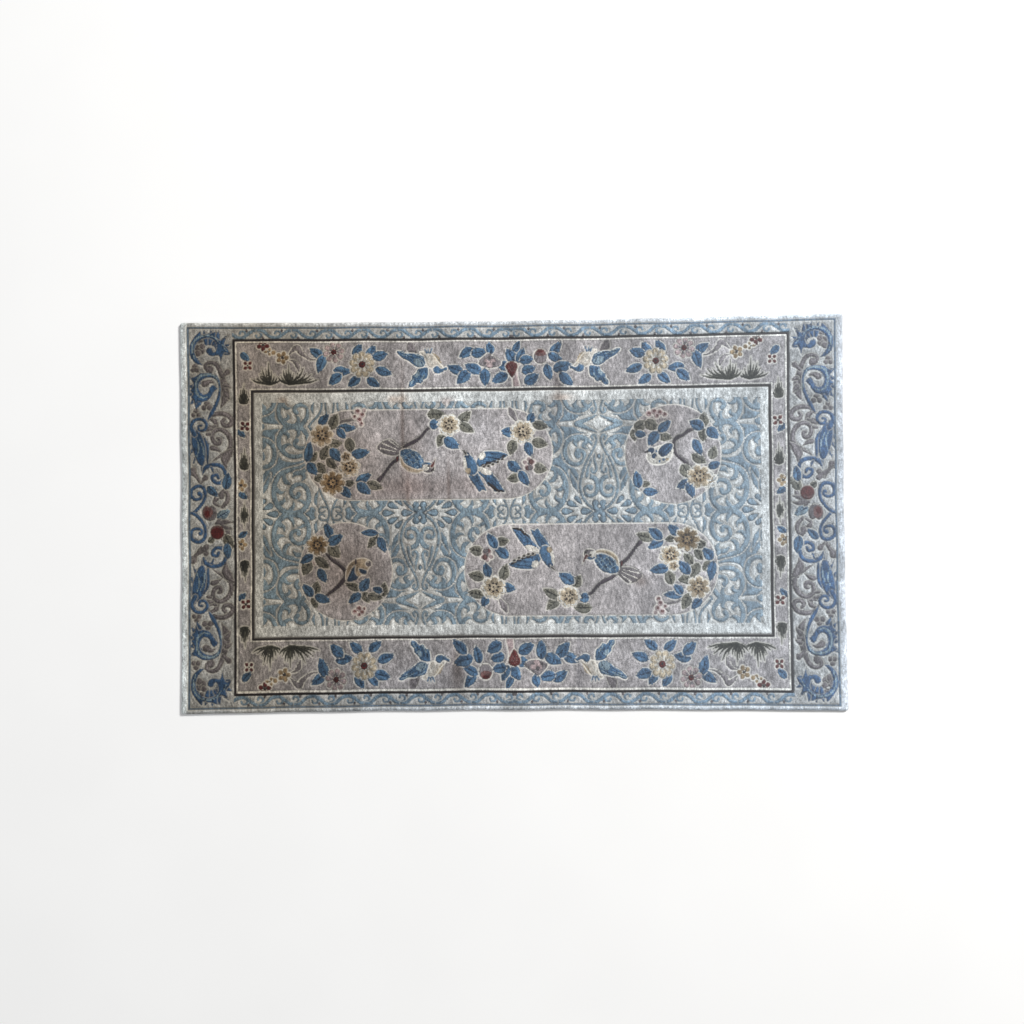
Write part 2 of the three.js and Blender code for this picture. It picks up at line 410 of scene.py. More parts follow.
def draw_fretwork(chart):
    """The slate scrolls on cream, painted once and mirrored over the whole field."""
    at = np.nonzero(chart.within(FIELD))[0]
    along = np.mod(chart.x[at] - FRET_X, 2 * TILE_U)
    across = np.mod(chart.y[at] - FRET_Y, 2 * TILE_V)
    to_cluster = np.where(along < TILE_U, along, 2 * TILE_U - along)
    v = np.where(across < TILE_V, across, 2 * TILE_V - across)
    u = TILE_U - to_cluster
    flip_u = np.where(along < TILE_U, -1.0, 1.0)
    flip_v = np.where(across < TILE_V, 1.0, -1.0)
    tile = Region(chart, at, u, v, flip_u, flip_v)
    tile.fill(FRET_UNDER_SHAPES + ribbons(FRET_UNDER_STROKES), "slate", line=0.4)
    for group in FRET_GROUPS:
        tile.fill(ribbons(group, extra=FRET_HALO), "cream", line=0.4)
        tile.fill(ribbons(group), "slate", line=0.4)
        tile.fill(ribbons(group, CORE), "slate_light", carve=False)
    petals = [drop(tip, end, width) for tip, end, width in FRET_PETALS]
    tile.fill(petals, "slate")
    tile.fill([disc(*lobe) for lobe in FRET_FLOWER], "slate")
    tile.fill(disc(0, 11, 3.6), "cream")
    tile.fill(disc(0, 127, 4.2, 1.4), "slate")


# Small parts of the flower and bird motifs

LEAF_SHADES = {  # light half, midrib
    "blue": ("blue_light", "navy"),
    "grey_green": ("green_light", "green_dark"),
    "slate": ("slate_light", "navy"),
}
# A leaf is drawn a little larger than its row says: what its size is multiplied by, and what is added
LEAF_LENGTHEN = (1.12, 2.0)
LEAF_WIDEN = (1.17, 2.5)


def draw_leaf(region, kind, x, y, length, width, turn):
    """A leaf with a pale rim, one half lighter, a dark midrib and three veins."""
    light, dark = LEAF_SHADES[kind]
    length = LEAF_LENGTHEN[0] * length + LEAF_LENGTHEN[1]
    width = LEAF_WIDEN[0] * width + LEAF_WIDEN[1]
    region.fill(leaf(x, y, length, width, turn), kind, line=0.8)
    half = leaf(0, 0.22 * width, 0.80 * length, 0.34 * width, 0)
    region.fill(placed(half, x, y, turn), light, depth=0.3)
    ribs = [ribbon([(-0.42 * length, 0), (0, 0.02 * width), (0.36 * length, 0)], [2.4, 2.2, 1.4])]
    for place in (-0.22, -0.02, 0.16):
        ribs.append(ribbon([(place * length, 0), ((place + 0.10) * length, -0.24 * width)], [1.8, 1.2]))
    region.fill([placed(rib, x, y, turn) for rib in ribs], dark, carve=False)


def draw_leaves(region, kind, rows):
    for row in rows:
        draw_leaf(region, kind, *row)


def draw_cluster(region, balls, heart, plain=()):
    """Little pink balls, the first ones with a darker heart of that share of their radius."""
    region.fill([disc(*ball) for ball in [*balls, *plain]], "pink", line=0.8, depth=0.6)
    region.fill([disc(x, y, heart * r) for x, y, r in balls], "peach", carve=False)


def draw_blossom(region, x, y, r, petals=7, turn=0.0, inks=("honey", "pale_yellow", "ochre")):
    """A round flower of notched petals about a dotted heart."""
    petal, bright, heart = inks
    region.fill(blossom(x, y, 1.08 * r, petals, 0.28, turn, 0.05, 0.95), petal, line=0.9)
    for k in range(petals):
        around = turn + 360 * k / petals
        edge = ribbon([(0.78 * r, -0.22 * r), (0.92 * r, 0), (0.78 * r, 0.22 * r)], [1.6, 3.0, 1.6])
        region.fill(placed(edge, x, y, around), bright, carve=False)
        groove = ribbon([(0.45 * r, 0), (0.84 * r, 0)], [2.0, 1.6])
        region.fill(placed(groove, x, y, around + 180 / petals), "dark_ochre", carve=False)
        fold = ribbon([(0.50 * r, 0), (0.74 * r, 0)], [1.8, 1.8])
        region.fill(placed(fold, x, y, around + 12), heart, carve=False)
    region.fill(blossom(x, y, 0.50 * r, petals, 0.2, turn), heart, depth=0.4)
    region.fill(disc(x, y, 0.30 * r), petal, carve=False)
    for k in range(petals):
        a = math.radians(turn + 360 * (k + 0.5) / petals)
        spot = disc(x + 0.34 * r * math.cos(a), y + 0.34 * r * math.sin(a), 0.075 * r + 0.6)
        region.fill(spot, "brown", carve=False)
    region.fill(disc(x, y, 0.09 * r), "brown", carve=False)


def draw_daisy(region, x, y, r, petals, turn, inks):
    """An open flower of long loose petals about a red heart."""
    petal, shade = inks
    rim = [disc(x, y, 0.4 * r)]
    for k in range(petals):
        rim.append(placed(drop((0.1 * r, 0), (1.04 * r, 0), 0.60 * r), x, y, turn + 360 * k / petals))
    region.fill(rim, "ivory", line=0.6)
    for k in range(petals):
        around = turn + 360 * k / petals
        region.fill(placed(drop((0.22 * r, 0), (0.98 * r, 0), 0.46 * r), x, y, around), petal, depth=0.5)
        region.fill(placed(drop((0.22 * r, 0), (0.66 * r, 0), 0.15 * r), x, y, around), shade, carve=False)
    region.fill(disc(x, y, 0.25 * r), "red", depth=0.5)
    region.fill(disc(x, y, 0.10 * r), "brown", carve=False)


def draw_small_flower(region, x, y, r, petals, turn, ink, heart):
    """A little flower of round petals in a pale rim."""
    lobe = disc(0.62 * r, 0, 0.47 * r, 0.86)
    lobes = [placed(lobe, x, y, turn + 360 * k / petals) for k in range(petals)]
    region.fill(lobes + [disc(x, y, 0.3 * r)], ink, line=0.9, depth=0.6)
    region.fill(disc(x, y, 0.26 * r), heart, carve=False)


def draw_tuft(region, x, y, tips):
    """A tuft of grass, its blades fanned out from a dark root."""
    root, tips = np.array([x, y]), np.array(tips)
    lower_tips = (tips[:-1] + tips[1:]) * (0.47, 0.42) + root * (0.06, 0.16)
    blades = []
    for tip in np.vstack([tips, lower_tips]):
        bend = (root + tip) / 2 + (tip - root) * (0.18, -0.04)
        blades.append(ribbon([root, bend, tip], [6, 7, 2.6]))
    region.fill(blades, "tuft", line=0.7, depth=0.5)
    inner = [(root + 0.25 * (tip - root), root + 0.8 * (tip - root)) for tip in tips[::2]]
    region.fill(straights(inner, 2.4, 2.0), "tuft_light", carve=False)


# The long medallion: x, y, length, width and turn of each leaf, in millimetres and degrees

LONG_BLUE_LEAVES = [
    (-428, 223.5, 32, 16, 45), (-375, 203, 40, 16, -5), (-388, 190, 28, 16, -50),
    (-463.5, 149.5, 45, 18, 80), (-401, 140.5, 38, 20, -50), (-345, 144, 42, 20, 10),
    (-456, 110, 32, 20, -55), (-378, 55, 32, 18, -50), (-337, 87, 38, 18, 27),
    (-337, 63, 38, 20, -40), (-173, 209, 22, 20, 0), (-134.5, 165, 38, 22, -35),
    (-4.5, 190, 30, 20, 170), (49, 222, 24, 17, 60), (43, 149.5, 32, 18, -75),
    (9.6, 109, 36, 20, -40), (31, 83, 38, 18, -60),
]
LONG_GREEN_LEAVES = [
    (-405, 218, 38, 20, 65), (-368, 162, 34, 20, -75), (-405, 167, 34, 20, 5),
    (-425, 147, 35, 20, 60), (-453, 138, 26, 17, 50), (-411, 121, 30, 17, -50),
    (-434, 109, 32, 17, -60), (-437, 89.5, 28, 16, 15), (-370, 75.5, 22, 14, 10),
    (-312, 70, 36, 18, -20), (-170, 232, 36, 22, 0), (-104, 223.5, 38, 20, 45),
    (-100, 200.5, 38, 18, -30), (-159, 172, 30, 18, -115), (69.5, 204, 34, 18, -15),
    (68, 163.5, 34, 20, -15), (4.5, 154.6, 34, 20, -105), (68, 105, 30, 20, -15),
    (8, 84, 28, 18, 190),
]
BRANCH = [([(-301.5, 83), (-294, 91), (-283, 106), (-271, 121), (-258, 131.6), (-243, 157), (-220, 170),
            (-205, 180), (-192, 196), (-180, 204)], [10, 6, 6, 7, 8, 7, 8, 6, 6, 5])]
TWIG = [([(-395, 211), (-384, 219), (-370, 221), (-355, 226), (-364, 240)], [3, 5, 6, 6, 4])]
BRANCH_WEIGHT = 1.3
LONG_CLUSTER = [(-350, 241, 8), (-340, 233, 8), (-346, 222, 8), (-342, 212, 7), (-357, 229, 6)]


def draw_long_medallion(region):
    region.fill(ribbons(TWIG, BRANCH_WEIGHT), "mauve", line=0.5)
    region.fill(ribbons(BRANCH, BRANCH_WEIGHT), "branch", line=0.4)
    region.fill(disc(-250, 153, 5), "branch", line=0.5)
    draw_cluster(region, LONG_CLUSTER, 0.45, plain=[(-335, 243, 6)])
    draw_leaves(region, "grey_green", LONG_GREEN_LEAVES)
    draw_leaves(region, "blue", LONG_BLUE_LEAVES)
    region.fill(ribbon([(0, 244), (5, 233), (14, 218)], [8, 17, 9]), "mauve_light", line=0.8)
    region.fill(ribbon([(2, 240), (9, 225)], [3, 3]), "mauve", carve=False)
    draw_small_flower(region, 43, 117, 15, 5, 20, "pink", "mauve")
    region.fill([disc(48, 121, 6), disc(40, 106, 5)], "peach", depth=0.4)
    region.fill(disc(46, 107, 6), "mauve", depth=0.4)
    draw_blossom(region, -370, 113, 24, 6, 12, ("pale_yellow", "cream", "ochre"))
    draw_blossom(region, -377, 137, 12, 5, 30, ("honey", "pale_yellow", "ochre"))
    draw_blossom(region, -433, 186.5, 26, 7, 8)
    draw_blossom(region, -409, 77, 28, 8, 0, ("ochre", "honey", "dark_ochre"))
    draw_blossom(region, -139.6, 207, 25, 7, 20, ("pale_yellow", "cream", "honey"))
    draw_blossom(region, 28.7, 190, 27, 7, 5, ("pale_yellow", "cream", "honey"))
    draw_perched_bird(region)
    draw_flying_bird(region)


def draw_perched_bird(region):
    """A bird on the branch, seen from its back, its striped tail fanned up behind."""
    tail = curve([(-247, 145), (-264, 138), (-283, 140), (-300, 149), (-306, 159), (-298, 168), (-286, 175),
                  (-272, 176), (-257, 163), (-246, 152)], 5, closed=True)
    region.fill(tail, "mauve", line=0.7)
    stripes = [((-262, 146), (-298, 154)), ((-260, 151), (-294, 166)), ((-257, 156), (-279, 173))]
    region.fill(straights(stripes, 1.4, 3.2), "ivory", carve=False)
    region.fill(ribbon([(-259, 134), (-260, 124)], [5, 2]), "red", depth=0.4)
    body = curve([(-250, 152), (-232, 154), (-212, 146), (-200, 131), (-196, 117), (-206, 108), (-224, 106),
                  (-240, 114), (-250, 128), (-254, 142)], 6, closed=True)
    region.fill(body, "blue", line=0.9)
    belly = ribbon([(-252, 134), (-246, 118), (-232, 107), (-214, 102), (-201, 104)], [4, 9, 11, 9, 5])
    region.fill(belly, "honey", line=0.8, depth=0.6)
    region.fill(ribbon([(-240, 109), (-226, 102), (-210, 100)], [3, 5, 3]), "pale_yellow", carve=False)
    net = [((-246, 148), (-224, 116)), ((-235, 151), (-211, 118)), ((-222, 148), (-202, 120)),
           ((-250, 138), (-236, 117)), ((-250, 132), (-222, 150)), ((-244, 122), (-210, 143)),
           ((-232, 113), (-201, 132)), ((-218, 109), (-199, 121))]
    region.fill(straights(net, 1.8), "slate_light", carve=False)
    spots = [(-241, 142), (-232, 132), (-222, 138), (-224, 122), (-212, 128), (-210, 114), (-238, 127)]
    region.fill([disc(*spot, 3.6, 0.7, -30) for spot in spots], "navy", carve=False)
    head = curve([(-201, 116), (-191, 123), (-180, 120), (-173, 111), (-177, 101), (-188, 97), (-199, 102)],
                 6, closed=True)
    region.fill(head, "mauve", line=0.9)
    region.fill(ribbon([(-182, 118), (-176, 110), (-180, 102)], [4, 5, 4]), "brown", carve=False)
    region.fill(disc(-194, 110, 8.5, 0.9, 30), "ivory", depth=0.4)
    region.fill(ribbon([(-199, 118), (-188, 120), (-179, 114)], [4, 5, 4]), "blue", carve=False)
    region.fill(disc(-188, 112, 1.9), "brown", carve=False)
    region.fill(ribbon([(-180, 113), (-175, 121), (-171, 132)], [8, 5, 1.2]), "red", line=0.5, depth=0.5)


def draw_flying_bird(region):
    """A bird in flight, its beak up, one wing out and the other trailing."""
    wing = curve([(-82, 112), (-76, 128), (-68, 141), (-54, 147), (-38, 147), (-21, 145), (-4.5, 137),
                  (-14, 129), (-26, 124), (-36, 118), (-47, 115), (-57, 111), (-68, 110)], 4, closed=True)
    region.fill(wing, "blue", line=0.9)
    edge = ribbon([(-66, 113), (-52, 117), (-38, 122), (-24, 129), (-10, 136)], [3, 6, 6, 5, 3])
    region.fill(edge, "brown", depth=0.4)
    for x, y in ((-60, 111), (-50, 112), (-40, 116), (-29, 121), (-18, 127)):
        region.fill(disc(x, y, 4.4, 0.8, 20), "brown", line=0.5, depth=0.4)
    region.fill(disc(-65, 135, 10, 0.75, 50), "ivory", depth=0.4)
    barbs = [((-54, 141), (-12, 137)), ((-56, 131), (-20, 129)), ((-58, 122), (-34, 120))]
    region.fill(straights(barbs, 2.4, 1.6), "navy", carve=False)
    lights = [((-50, 136), (-24, 134)), ((-50, 126), (-32, 125))]
    region.fill(straights(lights, 2.0, 1.4), "blue_light", carve=False)
    trailing = curve([(-80, 108), (-64, 109), (-48, 102), (-38, 92), (-27, 78), (-18, 63), (-12, 51),
                      (-26, 53), (-36, 52), (-42, 62), (-53, 68), (-60, 82), (-72, 94)], 4, closed=True)
    region.fill(trailing, "blue", line=0.9)
    region.fill(ribbon([(-16, 54), (-30, 56), (-42, 66), (-52, 74)], [3, 6, 6, 3]), "brown", depth=0.4)
    shoulder = curve([(-78, 107), (-64, 109), (-48, 103), (-43, 93), (-55, 91), (-70, 98)], 4, closed=True)
    region.fill(shoulder, "ivory", depth=0.4)
    barbs = [((-50, 86), (-24, 60)), ((-58, 90), (-36, 66)), ((-44, 92), (-20, 62))]
    region.fill(straights(barbs, 2.2, 1.4), "navy", carve=False)
    tail = curve([(-100, 100), (-88, 102), (-74, 96), (-66, 82), (-58, 66), (-54, 54), (-64, 57), (-72, 52),
                  (-80, 64), (-92, 80)], 4, closed=True)
    region.fill(tail, "blue", line=0.9)
    barbs = [((-88, 92), (-68, 64)), ((-80, 90), (-63, 60))]
    region.fill(straights(barbs, 2.2, 1.4), "navy", carve=False)
    body = curve([(-103, 141), (-94, 141), (-84, 130), (-76, 116), (-74, 102), (-82, 92), (-94, 92),
                  (-103, 102), (-107, 116), (-107, 130)], 5, closed=True)
    region.fill(body, "blue", line=0.9)
    region.fill(ribbon([(-104, 132), (-104, 118), (-101, 106)], [3, 9, 6]), "ivory", depth=0.4)
    region.fill(disc(-97, 101, 7, 0.9, -60), "honey", depth=0.4)
    region.fill(disc(-99, 138, 7, 0.85, -50), "navy", depth=0.4)
    region.fill(ribbon([(-102, 141), (-107, 146), (-113, 149)], [6, 3.5, 1.0]), "brown", line=0.4, depth=0.5)
    region.fill(disc(-99, 137, 1.5), "ivory", carve=False)


# The round medallion

ROUND_GREEN_LEAVES = [
    (300, 202, 34, 20, 30), (324, 202, 32, 22, -30), (283.5, 179, 26, 14, -80), (353.6, 175, 32, 18, -15),
    (443, 213, 30, 20, 90), (440.6, 179, 30, 18, -90), (463, 137, 28, 18, 70), (431, 123, 34, 18, -30),
    (401, 95, 34, 22, -60), (309, 67, 20, 13, 0),
]
ROUND_BLUE_LEAVES = [
    (299, 181, 24, 15, -10), (353.6, 199, 36, 18, 40), (327, 171, 36, 22, -125), (426.5, 202, 34, 22, 155),
    (463, 182, 32, 22, -45), (428, 150, 38, 18, -65), (466, 109, 28, 16, 20), (395.7, 65.7, 34, 18, 205),
    (411, 53, 36, 18, -75), (290.5, 78, 38, 19, 100), (320, 49, 32, 17, -5),
]
ROUND_BRANCH = [([(423, 193), (408, 188), (396, 179), (384, 174), (375, 164), (375, 146), (381.6, 131.6),
                  (398, 118), (414, 100)], [5, 8, 6, 9, 7, 8, 6, 7, 5])]
ROUND_CLUSTER = [(318, 228, 8), (330, 233, 8), (343, 231, 8), (354, 226, 7), (336, 223, 7)]


def draw_round_medallion(region):
    draw_cluster(region, ROUND_CLUSTER, 0.45)
    region.fill(ribbons(ROUND_BRANCH, BRANCH_WEIGHT), "branch", line=0.4)
    draw_leaves(region, "grey_green", ROUND_GREEN_LEAVES)
    draw_leaves(region, "blue", ROUND_BLUE_LEAVES)
    draw_blossom(region, 452, 76, 20, 6, 15, ("cream", "ivory", "honey"))
    draw_blossom(region, 431, 83, 27, 7, 0, ("honey", "pale_yellow", "ochre"))
    draw_sitting_bird(region)


def draw_sitting_bird(region):
    """A small round bird with a dark wing and a pale breast."""
    body = curve([(312, 128), (318, 143), (332, 151), (350, 157), (366, 158), (372, 146), (370, 130),
                  (358, 116), (340, 111), (322, 114)], 5, closed=True)
    region.fill(body, "ivory", line=1.0)
    wing = curve([(340, 147), (350, 157), (364, 162), (373, 156), (368, 142), (358, 132), (347, 128),
                  (338, 137)], 5, closed=True)
    region.fill(wing, "navy", line=0.9)
    feathers = [((347, 137), (366, 155)), ((355, 134), (370, 149))]
    region.fill(straights(feathers, 2.2, 2.6), "blue", carve=False)
    region.fill(disc(322, 143, 9.5, 0.85, 30), "navy", line=0.8, depth=0.6)
    region.fill(disc(318, 136, 4.6), "ivory", depth=0.4)
    region.fill(disc(329, 131, 6.5, 0.8, 60), "navy", depth=0.4)
    spots = [(350, 122, 3.4), (340, 118, 2.8), (333, 141, 3.2)]
    region.fill([disc(*spot) for spot in spots], "blue", carve=False)
    region.fill(disc(358, 122, 4.5, 0.8), "honey", carve=False)
    region.fill(ribbon([(314, 142), (306, 138)], [4, 1.2]), "brown", depth=0.4)


# The other round medallion

OTHER_BLUE_LEAVES = [
    (-419, -33, 36, 18, 109), (-403, -53.5, 38, 20, 30), (-470, -97, 33, 16, 211), (-434, -136, 34, 18, -62),
    (-467, -169, 34, 18, 127), (-434, -189, 36, 18, -23), (-325, -38, 38, 14, 178), (-296, -66, 36, 18, -67),
    (-336, -157, 34, 20, 55), (-360, -188, 34, 17, 216), (-307, -169, 24, 14, 157),
]
OTHER_GREEN_LEAVES = [
    (-406, -80, 36, 22, -50), (-434, -106.5, 38, 18, -40), (-470, -117.5, 34, 22, -115),
    (-317, -58, 36, 16, -127), (-448, -164, 30, 18, 80), (-451.5, -195.5, 28, 16, -85),
    (-364, -161, 34, 16, 158), (-334, -186, 28, 16, -60), (-292, -168, 30, 16, 85),
    (-312, -185, 34, 16, -10),
]
OTHER_BRANCH = ([(-424, -86), (-412, -99), (-400, -108), (-386, -119), (-380, -134), (-388, -150),
                 (-405, -167), (-424, -181)], [6, 9, 8, 10, 9, 11, 9, 7])
OTHER_CLUSTER = [(-360, -219, 7), (-350, -212, 8), (-343, -220, 7), (-350, -226, 6), (-338, -212, 5)]


def draw_other_round_medallion(region):
    draw_cluster(region, OTHER_CLUSTER, 0.5)
    region.fill(ribbon(*OTHER_BRANCH), "branch", line=0.4)
    region.fill(disc(-456, -108, 7), "pink", line=0.6, depth=0.6)
    draw_leaves(region, "grey_green", OTHER_GREEN_LEAVES)
    draw_leaves(region, "blue", OTHER_BLUE_LEAVES)
    draw_blossom(region, -445, -66, 24, 7, 10, ("ochre", "honey", "dark_ochre"))
    draw_small_bird(region)


def draw_small_bird(region):
    """A small yellow bird with dark wings, its head to the right."""
    body = curve([(-380, -132), (-374, -112), (-359, -100), (-341, -96), (-325, -101), (-321, -111),
                  (-328, -122), (-333, -134), (-345, -137), (-357, -147), (-377, -150)], 5, closed=True)
    region.fill(body, "honey", line=1.0)
    region.fill(disc(-338, -106, 11, 0.55, -10), "pale_yellow", carve=False)
    wing = curve([(-378, -148), (-367, -122), (-358, -113), (-358, -130), (-351, -142), (-363, -150)],
                 5, closed=True)
    region.fill(wing, "navy", line=0.7, depth=0.6)
    far_wing = curve([(-350, -120), (-340, -121), (-331, -125), (-333, -134), (-346, -131)], 5, closed=True)
    region.fill(far_wing, "navy", line=0.7, depth=0.6)
    region.fill(ribbon([(-370, -142), (-362, -126)], [3, 3]), "blue", carve=False)
    region.fill(disc(-327, -109, 7.5), "mauve", line=0.8, depth=0.5)
    region.fill(disc(-330, -105, 3.4), "ivory", carve=False)
    region.fill(ribbon([(-357, -101), (-358, -112)], [5, 3]), "branch", carve=False)


# The flower border along the top, its left half first; the right half mirrors it

SIDE_BORDER_LEAVES = [
    (-610, 370, 27, 14, -45), (-444, 377, 38, 18, 145), (-434, 352, 42, 20, -110),
    (-385, 334, 37, 19, -10), (-402, 316, 36, 20, 220), (-358, 310, 34, 18, 218),
    (-349, 382, 32, 18, 55), (-317.6, 378, 32, 18, 55), (-297, 369, 34, 20, 15),
    (-289, 332, 38, 18, -20), (-313.5, 307, 34, 17, -35),
]
SIDE_TUFTS = [
    (-552, 305, [(-596, 319), (-577, 330), (-571, 345), (-556, 357), (-541, 330), (-527, 318)]),
    (-508, 305, [(-535, 324), (-522, 340), (-509, 352), (-497, 332), (-474, 343), (-456, 328), (-441, 315)]),
]


def draw_side_half(region):
    for tuft in SIDE_TUFTS:
        draw_tuft(region, *tuft)
    curls = [
        ribbon([(-509, 374), (-500, 383), (-489, 389), (-482, 380), (-472, 371), (-458, 363), (-444, 361)],
               [3, 9, 17, 13, 8, 6, 4]),
        ribbon([(-508, 362), (-496, 358), (-488, 348), (-484, 334)], [3, 8, 12, 3]),
    ]
    region.fill(curls, "mauve_light", line=0.9)
    draw_leaves(region, "blue", SIDE_BORDER_LEAVES)
    draw_small_flower(region, -604, 350, 12, 4, 45, "red", "brown")
    draw_small_flower(region, -568, 397, 15, 5, 200, "red", "brown")
    draw_small_flower(region, -556, 381, 10, 3, 180, "ochre", "brown")
    region.fill(disc(-544, 379, 6), "ochre", line=0.9, depth=0.6)
    draw_small_flower(region, -523.5, 367, 15, 5, 70, "ochre", "brown")
    draw_daisy(region, -404, 378, 25, 8, 10, ("pink", "mauve_light"))
    draw_daisy(region, -339, 349, 30, 9, 10, ("pale_yellow", "ivory"))
    draw_border_bird(region)


def draw_border_bird(region):
    """A bird coming down with both wings out, its tail in the air."""
    region.fill(ribbon([(-228, 396), (-226, 386), (-219, 376)], [14, 22, 16]), "mauve", line=0.4, depth=0.6)
    feathers = [((-222, 380), tip) for tip in ((-236, 396), (-226, 399), (-217, 394))]
    region.fill(straights(feathers, 2, 1.4), "mauve_light", carve=False)
    upper = curve([(-260, 378), (-252, 381), (-238, 375), (-226, 375), (-212, 372), (-196, 366),
                   (-192, 352), (-197, 342), (-210, 340), (-222, 347), (-232, 355), (-244, 361),
                   (-254, 369)], 4, closed=True)
    region.fill(upper, "blue", line=1.0)
    region.fill(disc(-208, 352, 13, 0.68, -25), "slate_light", depth=0.4)
    lights = [((-254, 377), (-232, 371)), ((-246, 369), (-226, 366)), ((-216, 371), (-200, 362))]
    region.fill(straights(lights, 2.4, 3.2), "slate_light", carve=False)
    barbs = [((-250, 374), (-222, 362)), ((-240, 367), (-222, 354)), ((-230, 372), (-206, 364)),
             ((-206, 358), (-200, 346))]
    region.fill(straights(barbs, 1.6, 2.4), "navy", carve=False)
    lower = curve([(-187, 340), (-186, 326), (-189, 316), (-197, 311), (-203, 303), (-213, 304), (-220, 296),
                   (-231, 295), (-232, 305), (-226, 312), (-224, 321), (-216, 328), (-210, 337), (-198, 341)],
                  4, closed=True)
    region.fill(lower, "blue", line=1.0)
    barbs = [((-222, 302), (-206, 332)), ((-210, 308), (-199, 334)), ((-198, 314), (-192, 334))]
    region.fill(straights(barbs, 1.6, 2.6), "navy", carve=False)
    lights = straights([((-228, 299), (-222, 312)), ((-205, 307), (-196, 322))], 2.4, 3.2)
    region.fill([disc(-212, 324, 8, 0.6, 60)] + lights, "slate_light", carve=False)
    body = curve([(-206, 376), (-196, 378), (-182, 374), (-172, 366), (-162, 352), (-152, 342), (-156, 334),
                  (-170, 338), (-184, 340), (-191, 350), (-196, 364)], 5, closed=True)
    region.fill(body, "feather", line=1.0)
    region.fill(ribbon([(-176, 370), (-168, 362), (-160, 350)], [4, 11, 6]), "honey", carve=False)
    region.fill(ribbon([(-192, 371), (-186, 360), (-176, 346)], [5, 6, 4]), "ivory", carve=False)
    crest = [((-190, 374), (-195, 383)), ((-186, 375), (-187, 385)), ((-182, 374), (-177, 384))]
    region.fill(straights(crest, 6, 3), "blue", line=0.6, depth=0.5)
    tail = curve([(-176, 338), (-166, 345), (-156, 338), (-145, 342), (-141, 336), (-150, 331), (-162, 325),
                  (-173, 328)], 5, closed=True)
    region.fill(tail, "blue", line=1.0)


SIDE_MIDDLE_LEAVES = [
    (-99, 373, 36, 19, 212), (-69.6, 373, 34, 20, 10), (-44, 383, 26, 17, 105),
    (-123.7, 335, 38, 19, 155), (-106, 317, 40, 22, 225), (-83, 337, 40, 21, 155),
    (-56, 316, 38, 21, -90), (-14, 342.5, 22, 20, 170), (-22, 314, 38, 21, 205),
    (17.3, 385.6, 30, 14, 60), (3, 365.5, 34, 20, 120), (27, 365.5, 34, 17, 65),
    (40, 355, 30, 20, 10), (44, 332, 30, 21, 15), (51, 311, 36, 22, 30),
    (107, 380, 38, 18, 50), (106, 359, 36, 17, -30), (89, 326, 36, 18, -75),
    (122, 338, 42, 24, 15), (130, 309, 40, 20, -45),
]


def draw_side_middle(region):
    trunk = ribbon([(36, 352), (22, 350), (14, 336), (13, 316), (16, 296)], [6, 12, 12, 14, 18])
    region.fill(trunk, "pink", line=0.9)
    draw_leaves(region, "blue", SIDE_MIDDLE_LEAVES)
    cup = curve([(-71, 346), (-67, 357), (-58, 366), (-48, 372), (-38, 366), (-26, 358), (-17, 350),
                 (-24, 340), (-38, 337), (-54, 338)], 6, closed=True)
    region.fill(cup, "mauve_light", line=1.0)
    region.fill([disc(-50, 352, 8), disc(-38, 352, 7), disc(-45, 344, 7)], "pink", depth=0.5)
    region.fill([disc(-47, 358, 5), disc(-36, 346, 4), disc(-57, 347, 4)], "mauve", carve=False)
    region.fill(drop((6, 313), (5, 353), 30), "red", line=0.9)
    fruit_x, fruit_y, fruit_r = 5.5, 337, 12
    net = []
    for across in (-6, 0, 6):
        for lean in (-0.6, 0.6):
            reach = math.sqrt(fruit_r**2 - across**2) / math.hypot(1, lean)
            low = (fruit_x + across - lean * reach, fruit_y - reach)
            high = (fruit_x + across + lean * reach, fruit_y + reach)
            net.append((low, high))
    region.fill(straights(net, 1.4), "peach", carve=False)
    peach = curve([(71, 345), (60, 350), (55, 362), (60, 375), (71, 380), (83, 375), (88, 362), (83, 350)],
                  6, closed=True)
    region.fill(peach, "mauve_light", line=1.0)
    region.fill(disc(71, 370, 14, 0.6), "peach", carve=False)
    region.fill(disc(71, 375, 9, 0.5), "red", carve=False)


# The flower border across the left end, its upper half; the lower half mirrors it

END_TUFTS = [
    (-614, 262, [(-626, 280), (-621, 296), (-613, 309), (-606, 292), (-601, 276), (-625, 268), (-603, 266)]),
    (-613, 110, [(-625, 130), (-620, 146), (-612, 159), (-606, 142), (-601, 126), (-624, 118), (-602, 116)]),
]
END_MIDDLE_TUFT = (
    -612, -12, [(-625, 6), (-620, 22), (-613, 36), (-606, 20), (-601, 4), (-624, -6), (-602, -8)])


def draw_end_half(region):
    for tuft in END_TUFTS:
        draw_tuft(region, *tuft)
    draw_leaf(region, "blue", -619, 193, 24, 12, -50)
    draw_small_flower(region, -611, 210, 13, 4, 40, "red", "brown")
    draw_leaf(region, "blue", -616, 49, 24, 12, -35)
    draw_small_flower(region, -621, 73, 14, 5, 0, "ochre", "brown")
    draw_tuft(region, *END_MIDDLE_TUFT)


# The scroll border across the left end, between the guard line and the brown line, its upper half

